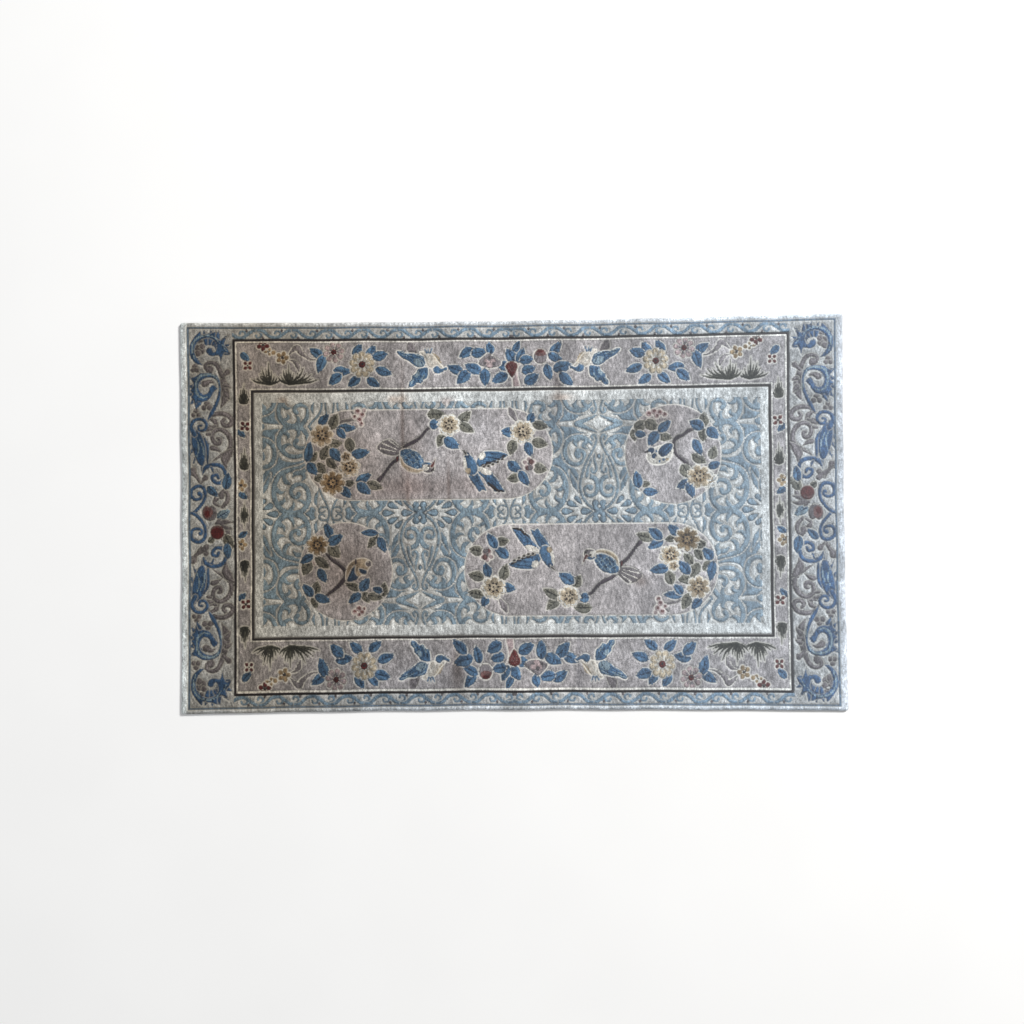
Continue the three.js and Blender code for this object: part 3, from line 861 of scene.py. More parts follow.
END_BLUE_SHAPES = [
    # the spray's body
    [(-735, 194), (-722, 204), (-712, 192), (-703, 166), (-702, 140), (-708, 120), (-718, 122), (-728, 142),
     (-735, 168)],
    # the corner leaf, toothed like acanthus and curled in on itself
    [(-707, 352), (-722, 355), (-735, 367), (-740, 385), (-738, 402), (-728, 418), (-714, 432), (-711, 423),
     (-700, 425), (-690, 426), (-677, 430), (-678, 418), (-668, 410), (-653, 417), (-658, 400), (-650, 390),
     (-644, 376), (-656, 381), (-662, 372), (-667, 358), (-671, 374), (-686, 372), (-697, 377), (-701, 386),
     (-695, 393), (-687, 391), (-684, 384), (-679, 384), (-676, 394), (-678, 405), (-686, 412), (-698, 415),
     (-713, 411), (-724, 400), (-727, 386), (-723, 371), (-715, 360)],
    # the roundel below it
    [(-698, 224), (-684, 238), (-672, 262), (-666, 285), (-667, 309), (-673, 324), (-685, 332), (-702, 335),
     (-716, 333), (-726, 327), (-738, 322), (-731, 312), (-732, 302), (-738, 294), (-732, 286), (-737, 278),
     (-730, 272), (-727, 256), (-720, 268), (-710, 267), (-698, 270), (-690, 277), (-683, 289), (-675, 298),
     (-684, 307), (-692, 301), (-696, 291), (-702, 286), (-710, 286), (-715, 293), (-718, 303), (-714, 314),
     (-702, 322), (-688, 323), (-679, 318), (-673, 305), (-674, 285), (-682, 262), (-694, 241)],
]
# Pointed lobes, each laid over the one before it
END_LOBES = [
    # the corner leaf's flare
    [(-700, 402), (-702, 416), (-707, 433)], [(-692, 402), (-689, 417), (-690, 434)],
    [(-684, 400), (-675, 414), (-672, 432)], [(-678, 396), (-664, 406), (-651, 421)],
    [(-676, 391), (-660, 394), (-644, 401)], [(-674, 386), (-662, 382), (-646, 375)],
    # the roundel's outer side
    [(-714, 276), (-719, 264), (-726, 249)], [(-719, 282), (-728, 273), (-738, 261)],
    [(-721, 292), (-731, 288), (-742, 282)], [(-720, 302), (-730, 303), (-743, 305)],
    [(-716, 312), (-727, 318), (-741, 327)],
    # the spray under the volute
    [(-727, 200), (-702, 166), (-697, 108)], [(-727, 198), (-710, 160), (-713, 105)],
    [(-728, 198), (-718, 165), (-734, 119)], [(-729, 200), (-726, 176), (-740, 142)],
    [(-730, 205), (-731, 186), (-739, 166)],
]
END_LOBE_WIDTHS = [9, 15, 1.5]
MAUVE_WEIGHT = 1.2
END_BLUE_STROKES = [
    # the volute over the spray
    ([(-728, 192), (-736, 210), (-728, 225), (-711, 227), (-700, 215), (-705, 203), (-716, 202), (-719, 211),
      (-712, 213)], [13, 10, 9, 9, 9, 8, 8, 7, 7]),
    # the volute by the centre
    ([(-711, 98), (-703, 115), (-684, 122), (-665, 117), (-657, 101), (-661, 86), (-674, 79), (-686, 86),
      (-687, 96), (-677, 98), (-673, 91)], [2, 11, 11, 10, 10, 10, 9, 9, 9, 9, 8]),
    ([(-690, 116), (-686, 108), (-684, 102)], [6, 6, 2]),
]
END_MAUVE_STROKES = [
    ([(-693, 342), (-702, 351), (-692, 358), (-678, 354), (-668, 338), (-661, 315), (-656.5, 293),
      (-658, 272), (-668, 252)], [17, 9, 8, 9, 10, 12, 16, 14, 1.5]),
    ([(-664, 324), (-657, 331), (-651, 336)], [7, 8, 12]),
    ([(-656, 306), (-649, 303), (-643, 298)], [10, 7, 1.5]),
    ([(-656, 286), (-650, 279), (-646, 271)], [12, 8, 1.5]),
    ([(-698, 221), (-688, 235), (-668, 240), (-650, 235), (-641, 222), (-646, 213), (-658, 212), (-664, 220),
      (-659, 227)], [3, 8, 10, 10, 10, 10, 9, 8, 7]),
    ([(-691, 227), (-681, 222), (-677, 212)], [6, 10, 9]),
    ([(-697, 214), (-689, 209), (-679, 211)], [3, 7, 6]),
    ([(-688, 129), (-666, 143), (-648, 156), (-644, 175), (-652, 193), (-668, 203), (-683, 198), (-687, 186),
      (-682, 173), (-671, 171), (-669, 180), (-675, 183)], [2, 7, 10, 10, 10, 9, 9, 9, 9, 9, 9, 6]),
    ([(-709, 197), (-700, 204), (-688, 204)], [2, 11, 6]),
    ([(-699, 192), (-692, 193)], [7, 7]),
    ([(-687, 161), (-678, 158), (-667, 151)], [11, 9, 2]),
    ([(-636, 160), (-649, 147), (-657, 133), (-655, 113)], [2, 17, 18, 2]),
    ([(-733, 106), (-727, 98), (-720, 88), (-714, 76)], [18, 8, 7, 4]),
    ([(-714, 78), (-709, 86), (-703, 92)], [4, 6, 12]),
    ([(-704, 309), (-692, 314), (-682, 311)], [14, 8, 2]),
    ([(-718, 405), (-704, 411), (-690, 409), (-683, 399)], [4, 9, 10, 2]),
    ([(-667, 50), (-660, 60), (-652, 52), (-653, 38), (-664, 24)], [14, 10, 8, 10, 7]),
    ([(-678, 44), (-683, 34), (-672, 26)], [11, 7, 5]),
]
END_MAUVE_DISCS = [  # u, v, radius
    (-720, 392, 8), (-712, 386, 9), (-720, 380, 8), (-709, 396, 7),
    (-727, 349, 7), (-732, 341, 6), (-722, 341, 6),
    (-699, 262, 7.5), (-706, 254, 7), (-693, 254, 7),
    (-725, 246, 6.5), (-731, 237, 6), (-719, 237, 6),
]
END_BLUE_LIGHTS = [
    ([(-728, 366), (-733, 385), (-731, 402), (-718, 416), (-698, 420), (-680, 415), (-670, 402)],
     [2, 4, 4, 4, 4, 4, 2]),
    ([(-663, 398), (-654, 384)], [4, 1.5]),
    ([(-669, 270), (-670, 296), (-680, 325), (-702, 329), (-719, 322), (-725, 304), (-722, 286), (-710, 276),
      (-697, 278)], [1.5, 2, 4, 5, 5, 5, 5, 4, 2]),
    ([(-716, 178), (-708, 158), (-705, 132)], [2, 4, 2]),
    ([(-724, 180), (-718, 162), (-724, 138)], [2, 4, 2]),
]
END_BLUE_FOLDS = [
    ([(-733, 374), (-727, 388), (-722, 402), (-712, 412)], [2, 2.5, 2.5, 1.5]),
    ([(-711, 425), (-704, 417)], [2, 1.5]), ([(-690, 427), (-689, 418)], [2, 1.5]),
    ([(-676, 428), (-682, 416)], [2.4, 1.5]), ([(-655, 414), (-668, 408)], [2.4, 1.5]),
    ([(-650, 391), (-664, 394)], [2, 1.5]), ([(-646, 378), (-663, 382)], [2, 1.5]),
    ([(-735, 322), (-724, 318)], [2, 1.5]), ([(-737, 304), (-726, 303)], [2, 1.5]),
    ([(-736, 290), (-726, 292)], [2, 1.5]), ([(-727, 260), (-720, 277)], [2, 1.5]),
]
END_CENTRE_BLUE_STROKES = [
    ([(-745, 12), (-732, 10.5), (-718, 24), (-707.6, 38), (-704, 53), (-708, 68), (-721, 73), (-734, 65),
      (-737, 53), (-730, 43), (-718, 43), (-712, 50), (-718, 56)], [5, 7, 7, 7, 8, 8, 8, 8, 8, 7, 7, 7, 10]),
    ([(-745, 9), (-732, 10), (-714, -6), (-705, -21.7), (-704, -40), (-709, -51), (-721, -56), (-734, -50),
      (-737, -38.5), (-733, -28), (-721, -25), (-712, -31), (-715, -36)],
     [5, 7, 7, 7, 8, 8, 8, 8, 8, 7, 7, 7, 10]),
]
END_CENTRE_LEAVES = [
    ("slate", -661, 7.4, 34, 18, 30), ("blue", -687, 60, 32, 15, -45), ("blue", -653, 84, 38, 19, 80),
    ("grey_green", -650, -56, 36, 19, -60), ("grey_green", -689, -50, 20, 12, 45),
    ("blue", -653, -78, 34, 17, -85),
]
CENTRE_WEIGHT = 1.2


def draw_end_scrolls(region):
    """Blue scrolls over mauve ones, with light and dark strokes along them."""
    for points, widths in END_MAUVE_STROKES:
        region.fill(ribbons([(points, widths)], MAUVE_WEIGHT), "mauve", line=0.5)
        region.fill(ribbons([(points, widths)], CORE), "mauve_light", carve=False)
    for row in END_MAUVE_DISCS:
        region.fill(disc(*row), "mauve", line=0.5)
    shapes = [ribbon(points, END_LOBE_WIDTHS) for points in END_LOBES]
    shapes += [curve(points, 3, closed=True) for points in END_BLUE_SHAPES]
    shapes += ribbons(END_BLUE_STROKES)
    for shape in shapes:
        region.fill(shape, "blue_scroll", line=0.5)
    region.fill(ribbons(END_BLUE_LIGHTS), "slate_light", carve=False)
    region.fill(ribbons(END_BLUE_FOLDS), "navy", carve=False)


def draw_end_centre(region):
    """Two blue volutes about a peach, with a red ball and leaves beside it."""
    for volute in ribbons(END_CENTRE_BLUE_STROKES, CENTRE_WEIGHT):
        region.fill(volute, "blue_scroll", line=0.5)
    for row in END_CENTRE_LEAVES:
        draw_leaf(region, *row)
    crown = [([(-676, -16), (-672, -8), (-668, -3)], [14, 12, 3]),
             ([(-668, -14), (-656, -10), (-640, -12)], [14, 12, 2]),
             ([(-664, -22), (-652, -24), (-641, -27)], [12, 9, 2])]
    region.fill(ribbons(crown), "mauve", line=0.5)
    region.fill(disc(-676, -34, 17), "red", line=0.6)
    region.fill(ribbon([(-688, -26), (-676, -22), (-666, -26)], [3, 4, 3]), "peach", carve=False)
    peach = curve([(-694, -8), (-706, -3), (-712, 9), (-710, 22), (-701, 29), (-694, 25), (-686, 28),
                   (-678, 20), (-677, 6), (-683, -5)], 6, closed=True)
    region.fill(peach, "mauve", line=0.6)
    region.fill(disc(-698, 11, 11, 1.3), "peach", carve=False)
    region.fill(disc(-700, 8, 6, 1.3), "red", carve=False)
    stem = ribbon([(-738, -96), (-724, -84), (-710, -76), (-702, -68)], [3, 9, 10, 14])
    region.fill(stem, "mauve", line=0.35)


# The scroll border along the sides: one wave of it, repeated

WAVE_PERIOD = 81.6
WAVE_PHASE = 6.4
WAVE_AXIS = 5.0
WAVE_STROKES = [
    ([(-8, 21), (4, 19.5), (16, 9), (26, 4.5), (40, 4.5), (52, 12.5), (62, 19.5), (74, 21)],
     [8, 9, 9, 9, 9, 9, 9, 8]),
    ([(66, 20), (78, 17), (82, 10), (78.5, 4.5), (72, 4), (70, 9)], [7, 7, 7, 6.5, 6, 7]),
    ([(38, 5), (45, 10.5), (43, 17.5), (35, 19), (32, 13.5)], [6, 6.5, 6.5, 6, 7]),
]
WAVE_REACH = 642


def draw_side_scrolls(chart):
    band = (np.abs(chart.y) > BROWN_OUT[1]) & (np.abs(chart.y) < GUARD_IN[1])
    at = np.nonzero(band & (np.abs(chart.x) < WAVE_REACH))[0]
    x, y = chart.x[at], chart.y[at]
    u = np.mod(WAVE_PHASE - np.abs(x - WAVE_AXIS), WAVE_PERIOD)
    v = np.abs(y) - BROWN_OUT[1]
    region = Region(chart, at, u, v, -np.sign(x - WAVE_AXIS), np.sign(y))
    for shift in (-WAVE_PERIOD, 0, WAVE_PERIOD):
        moved = [ribbon([(p + shift, q) for p, q in points], widths) for points, widths in WAVE_STROKES]
        region.fill(moved, "wave_blue", line=0.5, depth=0.7)
        region.fill([disc(48 + shift, 20, 3.0), disc(4 + shift, 3.6, 3.0)], "mauve", depth=0.4)


def draw_bands(chart):
    ones = np.ones(len(chart.x))
    everything = Region(chart, np.arange(len(chart.x)), chart.x, chart.y, ones, ones)
    everything.fill(box(*GUARD_OUT), "guard", line=0.5)
    everything.fill(box(*GUARD_IN), "scroll_ground", line=0.3)
    everything.fill(box(*BROWN_OUT), "brown")
    everything.fill(box(*BROWN_IN), "rim", depth=0.3)
    everything.fill(box(*IVORY_OUT), "taupe", depth=0.6)
    everything.fill(box(*IVORY_IN), "rim", depth=0.3)
    everything.fill(box(*DARK_OUT), "brown", depth=0.8)
    everything.fill(box(*DARK_IN), "cream", line=0.3)


def pill(x, y, straight, r, height):
    """A medallion's outline: straight sides and round ends."""
    a = np.linspace(-math.pi / 2, math.pi / 2, 31)
    cap = np.stack([r * np.cos(a), height * np.sin(a)], 1)
    return np.vstack([cap + (straight / 2, 0), (straight / -2, 0) - cap]) + (x, y)


MEDALLIONS = [  # x, y, straight side, radius of the ends along, and across
    (-187.5, 140.5, 359, 106, 104),
    (182.5, -126.5, 371, 104, 105),
    (372, 135, 0, 110, 114),
    (-380, -126.5, 0, 108, 113),
]


MIRROR_AXIS = -2.0  # of the flower border's two halves along a side
# How far what is turned or mirrored lies from where turning or mirroring alone would put it: the
# second long medallion, which moves further along a span of it, and the lower flower border
TURNED_SHIFT = (-7, 7)
TURNED_SHIFT_INNER = (-5, 7)
TURNED_SHIFT_SPAN = (-200, 50)
LOWER_MIDDLE_SHIFT = 11
LOWER_MIRRORED_SHIFT = 7
END_HALF_WIDTH = 320


def draw_pattern():
    """Draws every motif, from the bands up to the ends' scrolls."""
    chart = Chart()
    real_x, real_y = lie(chart.x, chart.y)
    turned_y = 2 * field_shift(chart.y) - real_y
    draw_bands(chart)
    draw_fretwork(chart)
    draw_side_scrolls(chart)

    def where(mask, flip_u, flip_v):
        at = np.nonzero(mask)[0]
        u = real_x[at] * flip_u
        v = real_y[at] if flip_v > 0 else turned_y[at]
        ones = np.ones(len(at))
        return Region(chart, at, u, v, ones * flip_u, ones * flip_v)

    in_field = chart.within(FIELD)
    whole = where(in_field, 1, 1)
    chart.medallion = np.zeros(len(chart.x), bool)
    for row in MEDALLIONS:
        outline = pill(*row)
        whole.fill(outline, "medallion", line=0.9)
        signed, _ = signed_distance(whole.u, whole.v, outline)
        chart.medallion[whole.at[signed > 0]] = True
    draw_long_medallion(whole)
    turned = where(in_field, -1, -1)
    start, end = TURNED_SHIFT_SPAN
    inner = np.clip((turned.u - start) / (end - start), 0, 1)
    turned.u = turned.u + TURNED_SHIFT[0] + TURNED_SHIFT_INNER[0] * inner
    turned.v = turned.v + TURNED_SHIFT[1] + TURNED_SHIFT_INNER[1] * inner
    draw_long_medallion(turned)
    draw_round_medallion(whole)
    draw_other_round_medallion(whole)

    side = (np.abs(chart.y) > IVORY_IN[1]) & chart.within(IVORY_OUT)
    for flip_v, half in ((1, chart.y > 0), (-1, chart.y < 0)):
        lower = flip_v < 0
        for flip_u in (1, -1):
            if flip_u == flip_v:
                middle = where(side & half, flip_u, flip_v)
                middle.u = middle.u + LOWER_MIDDLE_SHIFT * lower
                draw_side_middle(middle)
            mirrored = where(side & half, flip_u, flip_v)
            if flip_u < 0:
                mirrored.u = mirrored.u + 2 * MIRROR_AXIS + LOWER_MIRRORED_SHIFT * lower
            draw_side_half(mirrored)

    end = (np.abs(chart.x) > IVORY_IN[0]) & chart.within(IVORY_OUT) & (np.abs(chart.y) < END_HALF_WIDTH)
    scrolls = (np.abs(chart.x) > BROWN_OUT[0]) & chart.within(GUARD_IN)
    for flip_u, half in ((1, chart.x < 0), (-1, chart.x > 0)):
        for flip_v, upper in ((1, chart.y > 0), (-1, chart.y <= 0)):
            draw_end_half(where(end & half & upper, flip_u, flip_v))
            draw_end_scrolls(where(scrolls & half & upper, flip_u, flip_v))
        draw_end_centre(where(scrolls & half, flip_u, flip_u))
    return chart


def field_shift(y):
    """How far the pattern sits off centre across the rug, there."""
    fade = (SHIFT_END - np.abs(y)) / (SHIFT_END - FIELD_SHIFT_REACH)
    return FIELD_SHIFT * np.clip(fade, 0, 1)


def lie(x, y):
    """Where a place of the squared-up rug lies: its sides drawn in, wavy, its pattern off centre."""
    along_x = np.minimum(np.abs(x) / (LENGTH / 2), 1)
    along_y = np.minimum(np.abs(y) / (WIDTH / 2), 1)
    side, end = np.sign(y), np.sign(x)
    side_wave = EDGE_WAVE * np.sin(2 * math.pi * x / EDGE_WAVE_LENGTH + 2 * side)
    end_wave = EDGE_WAVE * np.sin(2 * math.pi * y / EDGE_WAVE_LENGTH + end)
    side_pull = (SIDE_DRAW_IN + side_wave) * (1 - along_x**2)
    end_pull = (END_DRAW_IN + end_wave) * (1 - along_y**2)
    return x - end_pull * along_x * end, y + field_shift(y) - side_pull * along_y * side


def rise(x, y):
    """The creases and soft swells left by folding."""
    z = np.zeros(len(x))
    for crease_x, height, spread in CREASES:
        z += height * np.exp(-(((x - crease_x) / spread) ** 2))
    for swell_x, swell_y, height, spread in SWELLS:
        z += height * np.exp(-((x - swell_x) ** 2 + (y - swell_y) ** 2) / spread**2)
    return z


# The mesh: grid points pulled onto close outlines and sunk along them, in millimetres

PULL_WITHIN = 0.5 * STEP
LONGEST_PULL = 0.46 * STEP
THIN_AREA = 0.06 * STEP**2
SNAP_TRIES = 6
CARVE_DEPTH = 1.8
CARVE_SHARPNESS = 1.3
RIM_DISTANCE = [0, 2, 4, 8]
RIM_HEIGHT = [4.2, 6.8, 8.1, 9.0]
RIM_WIDTH = 8
RIM_DEPTH = 0.3
RISE_FADE = 12
CORNER_RADIUS = 6.0
PILE_NOISE = 0.07
BACK_RINGS = [(1.6, 0.0), (0.8, 1.6), (0.6, 4.0), (2.5, 5.5)]  # inset, height

# The pale line, partly a painted highlight, and the painted shade in the groove along an outline
LINE_REACH = 2.4
PALE_INKS = ("cream", "ivory", "rim", "scroll_ground", "band")
DARK_INKS = ("slate", "slate_light", "blue", "blue_light", "blue_scroll", "wave_blue", "navy", "guard",
             "brown", "mauve", "mauve_light", "branch", "tuft", "red", "grey_green", "green_dark",
             "green_light", "ochre")
LINE_ON_DARK = 0.3
# Painted highlight on the pale side of a carved outline
PAINTED_HIGHLIGHT_ON_PALE = 0.6
# How much painted shade each side of a groove takes
GROOVE_SHADE_ON_PALE = 0.1
GROOVE_SHADE_ON_DARK = 0.9

# The silk's painted sheen, painted light and shade, and stains, over the whole rug
PAINTED_SHEEN_PLACES = [-420, 0, 520, 760]
PAINTED_SHEEN_AMOUNTS = [0.0, 0.03, 0.10, 0.13]
FIELD_PAINTED_SHEEN = 1.8
WIDE = 9000
# Painted light and shade with stains: darker and warmer to the left, lighter and cooler to the right, with
# narrow darker streaks
PAINTED_LIGHT_AND_STAIN_PATCHES = [  # x, y, spread along, spread across, change of red, green and blue
    (-740, 0, 420, WIDE, (0.60, 0.53, 0.43)),
    (760, 0, 560, WIDE, (0.99, 1.06, 1.14)),
    (-375, -125, 120, 110, (0.64, 0.58, 0.54)),
    (-400, 130, 110, 110, (0.76, 0.70, 0.66)),
    (-695, 0, 62, WIDE, (1.08, 1.16, 1.30)),
    (-300, -400, 260, 120, (0.86, 0.90, 0.95)),
    (400, 0, 150, WIDE, (1.08, 1.09, 1.10)),
    (-120, 260, 160, 130, (1.16, 1.19, 1.22)),
    (-620, 330, 160, 130, (0.90, 0.87, 0.84)),
    (40, 330, 60, 120, (0.90, 0.90, 0.90)),
    (-766, 0, 16, WIDE, (2.2, 2.5, 2.8)),
    (768, 0, 16, WIDE, (0.84, 0.80, 0.78)),
    (0, 456, WIDE, 8, (1.12, 1.14, 1.14)),
    (-247, 200, 5, 130, (0.62, 0.56, 0.53)),
    (-236, 20, 5, 110, (0.66, 0.60, 0.57)),
    (-142, 70, 4, 50, (0.72, 0.66, 0.63)),
    (-249, 268, 16, 12, (0.80, 0.70, 0.64)),
    (-145, 262, 16, 10, (0.92, 0.80, 0.78)),
    (-125, -350, 16, 60, (0.66, 0.60, 0.57)),
    (-240, 65, 110, 26, (0.74, 0.68, 0.66)),
    (-225, 130, 26, 100, (0.84, 0.80, 0.79)),
    (-330, 195, 50, 45, (1.24, 1.26, 1.28)),
    (-175, 150, 40, 50, (1.16, 1.18, 1.20)),
    (-70, 185, 50, 40, (1.18, 1.20, 1.22)),
    (-80, 70, 60, 24, (0.82, 0.78, 0.77)),
    (110, 300, 9, 110, (0.74, 0.70, 0.68)),
    (96, 220, 30, 40, (0.70, 0.70, 0.72)),
    (-523, 268, 12, 10, (0.85, 0.72, 0.64)),
    (-270, 268, 12, 9, (0.88, 0.76, 0.70)),
    (118, 268, 26, 10, (0.86, 0.73, 0.66)),
    (296, -155, 17, 14, (0.55, 0.50, 0.47)),
    (330, 215, 60, 50, (0.72, 0.68, 0.66)),
    (-30, 120, 60, 80, (1.10, 1.10, 1.10)),
    (153, -290, 6, 170, (0.72, 0.72, 0.74)),
    (107, 60, 5, 90, (0.82, 0.82, 0.84)),
]


def grid_triangles(shape, pulled):
    """Two triangles a square, cut along the outline where both of a diagonal's ends are on it."""
    ny, nx = shape
    start = (np.arange(ny - 1)[:, None] * nx + np.arange(nx - 1)).ravel()
    a, b, c, d = start, start + 1, start + nx + 1, start + nx
    rising = pulled[a] & pulled[c] & ~(pulled[b] & pulled[d])
    falling = pulled[b] & pulled[d] & ~(pulled[a] & pulled[c])
    turned = np.arange(len(start)) % 2 == 0
    use_rising = rising | (~falling & turned)
    first = np.where(use_rising[:, None], np.stack([a, b, c], 1), np.stack([a, b, d], 1))
    second = np.where(use_rising[:, None], np.stack([a, c, d], 1), np.stack([b, c, d], 1))
    return start, np.stack([first, second], 1).reshape(-1, 3)


def triangle_areas(x, y, corners):
    """The triangles' areas, below zero where one is turned over."""
    a, b, c = corners.T
    return ((x[b] - x[a]) * (y[c] - y[a]) - (x[c] - x[a]) * (y[b] - y[a])) / 2


def snap_to_outlines(chart):
    """Moves the points close to an outline onto it, leaving out any that would fold the mesh."""
    pulled = chart.near < PULL_WITHIN
    inner = chart.within((LENGTH / 2 - STEP / 2, WIDTH / 2 - STEP / 2))
    pulled &= inner
    for _ in range(SNAP_TRIES):
        reach = np.maximum(np.linalg.norm(chart.way, axis=1), 1e-9)
        move = chart.way * np.minimum(1, LONGEST_PULL / reach)[:, None] * pulled[:, None]
        x, y = chart.x + move[:, 0], chart.y + move[:, 1]
        squares, corners = grid_triangles(chart.shape, pulled)
        thin = triangle_areas(x, y, corners) < THIN_AREA
        if not thin.any():
            break
        pulled[np.unique(corners[thin])] = False
    return x, y, pulled, squares, corners


def face_inks(chart, pulled, corners):
    """A triangle's ink is that of a corner off the outlines, or else the one most corners have."""
    inks = chart.ink[corners]
    free = ~pulled[corners]
    ink = np.where(inks[:, 1] == inks[:, 2], inks[:, 1], inks[:, 0])
    for k in (2, 1, 0):
        ink = np.where(free[:, k], inks[:, k], ink)
    return ink


def round_corners(x, y):
    """Draws the rug's four corners in to a small radius."""
    a = np.abs(x) - (LENGTH / 2 - CORNER_RADIUS)
    b = np.abs(y) - (WIDTH / 2 - CORNER_RADIUS)
    corner = (a > 0) & (b > 0)
    pull = np.where(corner, np.maximum(a, b) / np.maximum(np.hypot(a, b), 1e-9), 1)
    new_x = np.where(corner, LENGTH / 2 - CORNER_RADIUS + a * pull, np.abs(x)) * np.sign(x)
    new_y = np.where(corner, WIDTH / 2 - CORNER_RADIUS + b * pull, np.abs(y)) * np.sign(y)
    return new_x, new_y


def bell(t):
    """One at nought, fading away on both sides."""
    return np.exp(-(t**2))


def stains_and_painted_light(x, y):
    """How painted light and shade, with stains, brighten, cool and darken the colour, place by place."""
    painted_light_and_stain = np.ones((len(x), 3))
    for patch_x, patch_y, spread_x, spread_y, change in PAINTED_LIGHT_AND_STAIN_PATCHES:
        weight = bell((x - patch_x) / spread_x) * bell((y - patch_y) / spread_y)
        painted_light_and_stain *= 1 + weight[:, None] * (np.array(change) - 1)
    return painted_light_and_stain


def painted_sheen_amount(x):
    """How much the painted sheen pales the colour: more towards the light's side of the rug."""
    return np.interp(x, PAINTED_SHEEN_PLACES, PAINTED_SHEEN_AMOUNTS)


def new_piece(name, points, faces, inks, values, material):
    """A mesh piece in metres, with its ink on each face and its other values on each point."""
    mesh = bpy.data.meshes.new(name)
    mesh.from_pydata((np.array(points) / 1000).tolist(), [], faces)
    colours = np.array([INKS[n] for n in INK_NAMES])[inks]
    colours = np.hstack([colours, np.ones((len(colours), 1))])
    ink = mesh.attributes.new("ink", "FLOAT_COLOR", "FACE")
    ink.data.foreach_set("color", colours.astype(np.float32).ravel())
    for key, value in values.items():
        if value.ndim == 1:
            mesh.attributes.new(key, "FLOAT", "POINT").data.foreach_set("value", value.astype(np.float32))
        else:
            padded = np.hstack([value, np.ones((len(value), 1))]).astype(np.float32)
            mesh.attributes.new(key, "FLOAT_COLOR", "POINT").data.foreach_set("color", padded.ravel())
    mesh.materials.append(material)
    mesh.polygons.foreach_set("use_smooth", np.ones(len(mesh.polygons), bool))
    mesh.update()
    piece = bpy.data.objects.new(name, mesh)
    bpy.context.scene.collection.objects.link(piece)
    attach(piece, "root")
    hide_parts("rug")
    return piece


def pale_line_and_groove_shade(chart, pulled, near, carved):
    """How strongly each point takes the pale line, partly a painted highlight, and the painted shade of the
    groove along an outline.
    """
    pale = np.isin(chart.ink, [INK[name] for name in PALE_INKS]) & ~pulled
    dark = np.isin(chart.ink, [INK[name] for name in DARK_INKS]) & ~pulled
    line = np.clip(1 - near / LINE_REACH, 0, 1) * chart.line
    line = line * np.where(dark, LINE_ON_DARK, 1.0)
    # On pale inks the carving gets a painted highlight
    line = np.where(pale, np.maximum(line, PAINTED_HIGHLIGHT_ON_PALE * carved * chart.depth), line)
    share = np.where(pale, GROOVE_SHADE_ON_PALE, np.where(dark, GROOVE_SHADE_ON_DARK, 1 - chart.line))
    return line, carved * chart.depth * share


def build_pile(chart, material):
    """The pile's pieces: snapped to the outlines, sunk along them, and given their colours' values."""
    x, y, pulled, squares, corners = snap_to_outlines(chart)
    inks = face_inks(chart, pulled, corners)
    near = np.where(pulled, 0, chart.near)
    carved = np.clip(1 - near / CARVE_REACH, 0, 1) ** CARVE_SHARPNESS
    rim = np.minimum(LENGTH / 2 - np.abs(x), WIDTH / 2 - np.abs(y))
    depth = np.where(rim < RIM_WIDTH, RIM_DEPTH, chart.depth)
    z = np.interp(rim, RIM_DISTANCE, RIM_HEIGHT)
    z = z + rise(x, y) * np.clip(rim / RISE_FADE, 0, 1) - carved * depth * CARVE_DEPTH
    z = z + PILE_NOISE * random.standard_normal(len(z)) * np.clip(rim / RIM_WIDTH, 0, 1)
    lie_x, lie_y = lie(*round_corners(x, y))
    points = np.stack([lie_x, lie_y, z], 1)
    line, groove = pale_line_and_groove_shade(chart, pulled, near, carved)
    # Painted light and shade, with stains, as a change of colour at each point
    painted_light_and_stain = stains_and_painted_light(lie_x, lie_y)
    scrolled = chart.within(FIELD) & ~chart.medallion
    # Painted sheen: paler towards the light's side, and more again in the fretwork field
    painted_sheen = painted_sheen_amount(lie_x) * np.where(scrolled, FIELD_PAINTED_SHEEN, 1)

    mid_x, mid_y = chart.x[squares] + STEP / 2, chart.y[squares] + STEP / 2
    band = np.zeros(len(squares), int)
    band[(np.abs(mid_x) < BROWN_OUT[0]) & (np.abs(mid_y) < BROWN_OUT[1])] = 1
    band[(np.abs(mid_x) < DARK_IN[0]) & (np.abs(mid_y) < DARK_IN[1])] = 2
    band[chart.medallion[squares]] = 3
    band = np.repeat(band, 2)
    pieces = []
    for number, name in enumerate(("pile_outer", "pile_flower_border", "pile_field", "pile_medallions")):
        mine = band == number
        used, faces = np.unique(corners[mine], return_inverse=True)
        faces = faces.reshape(-1, 3).tolist()
        values = {"line": line[used], "groove": groove[used], "painted_light_and_stain": painted_light_and_stain[used], "painted_sheen": painted_sheen[used]}
        pieces.append(new_piece(name, points[used], faces, inks[mine], values, material))
    return pieces


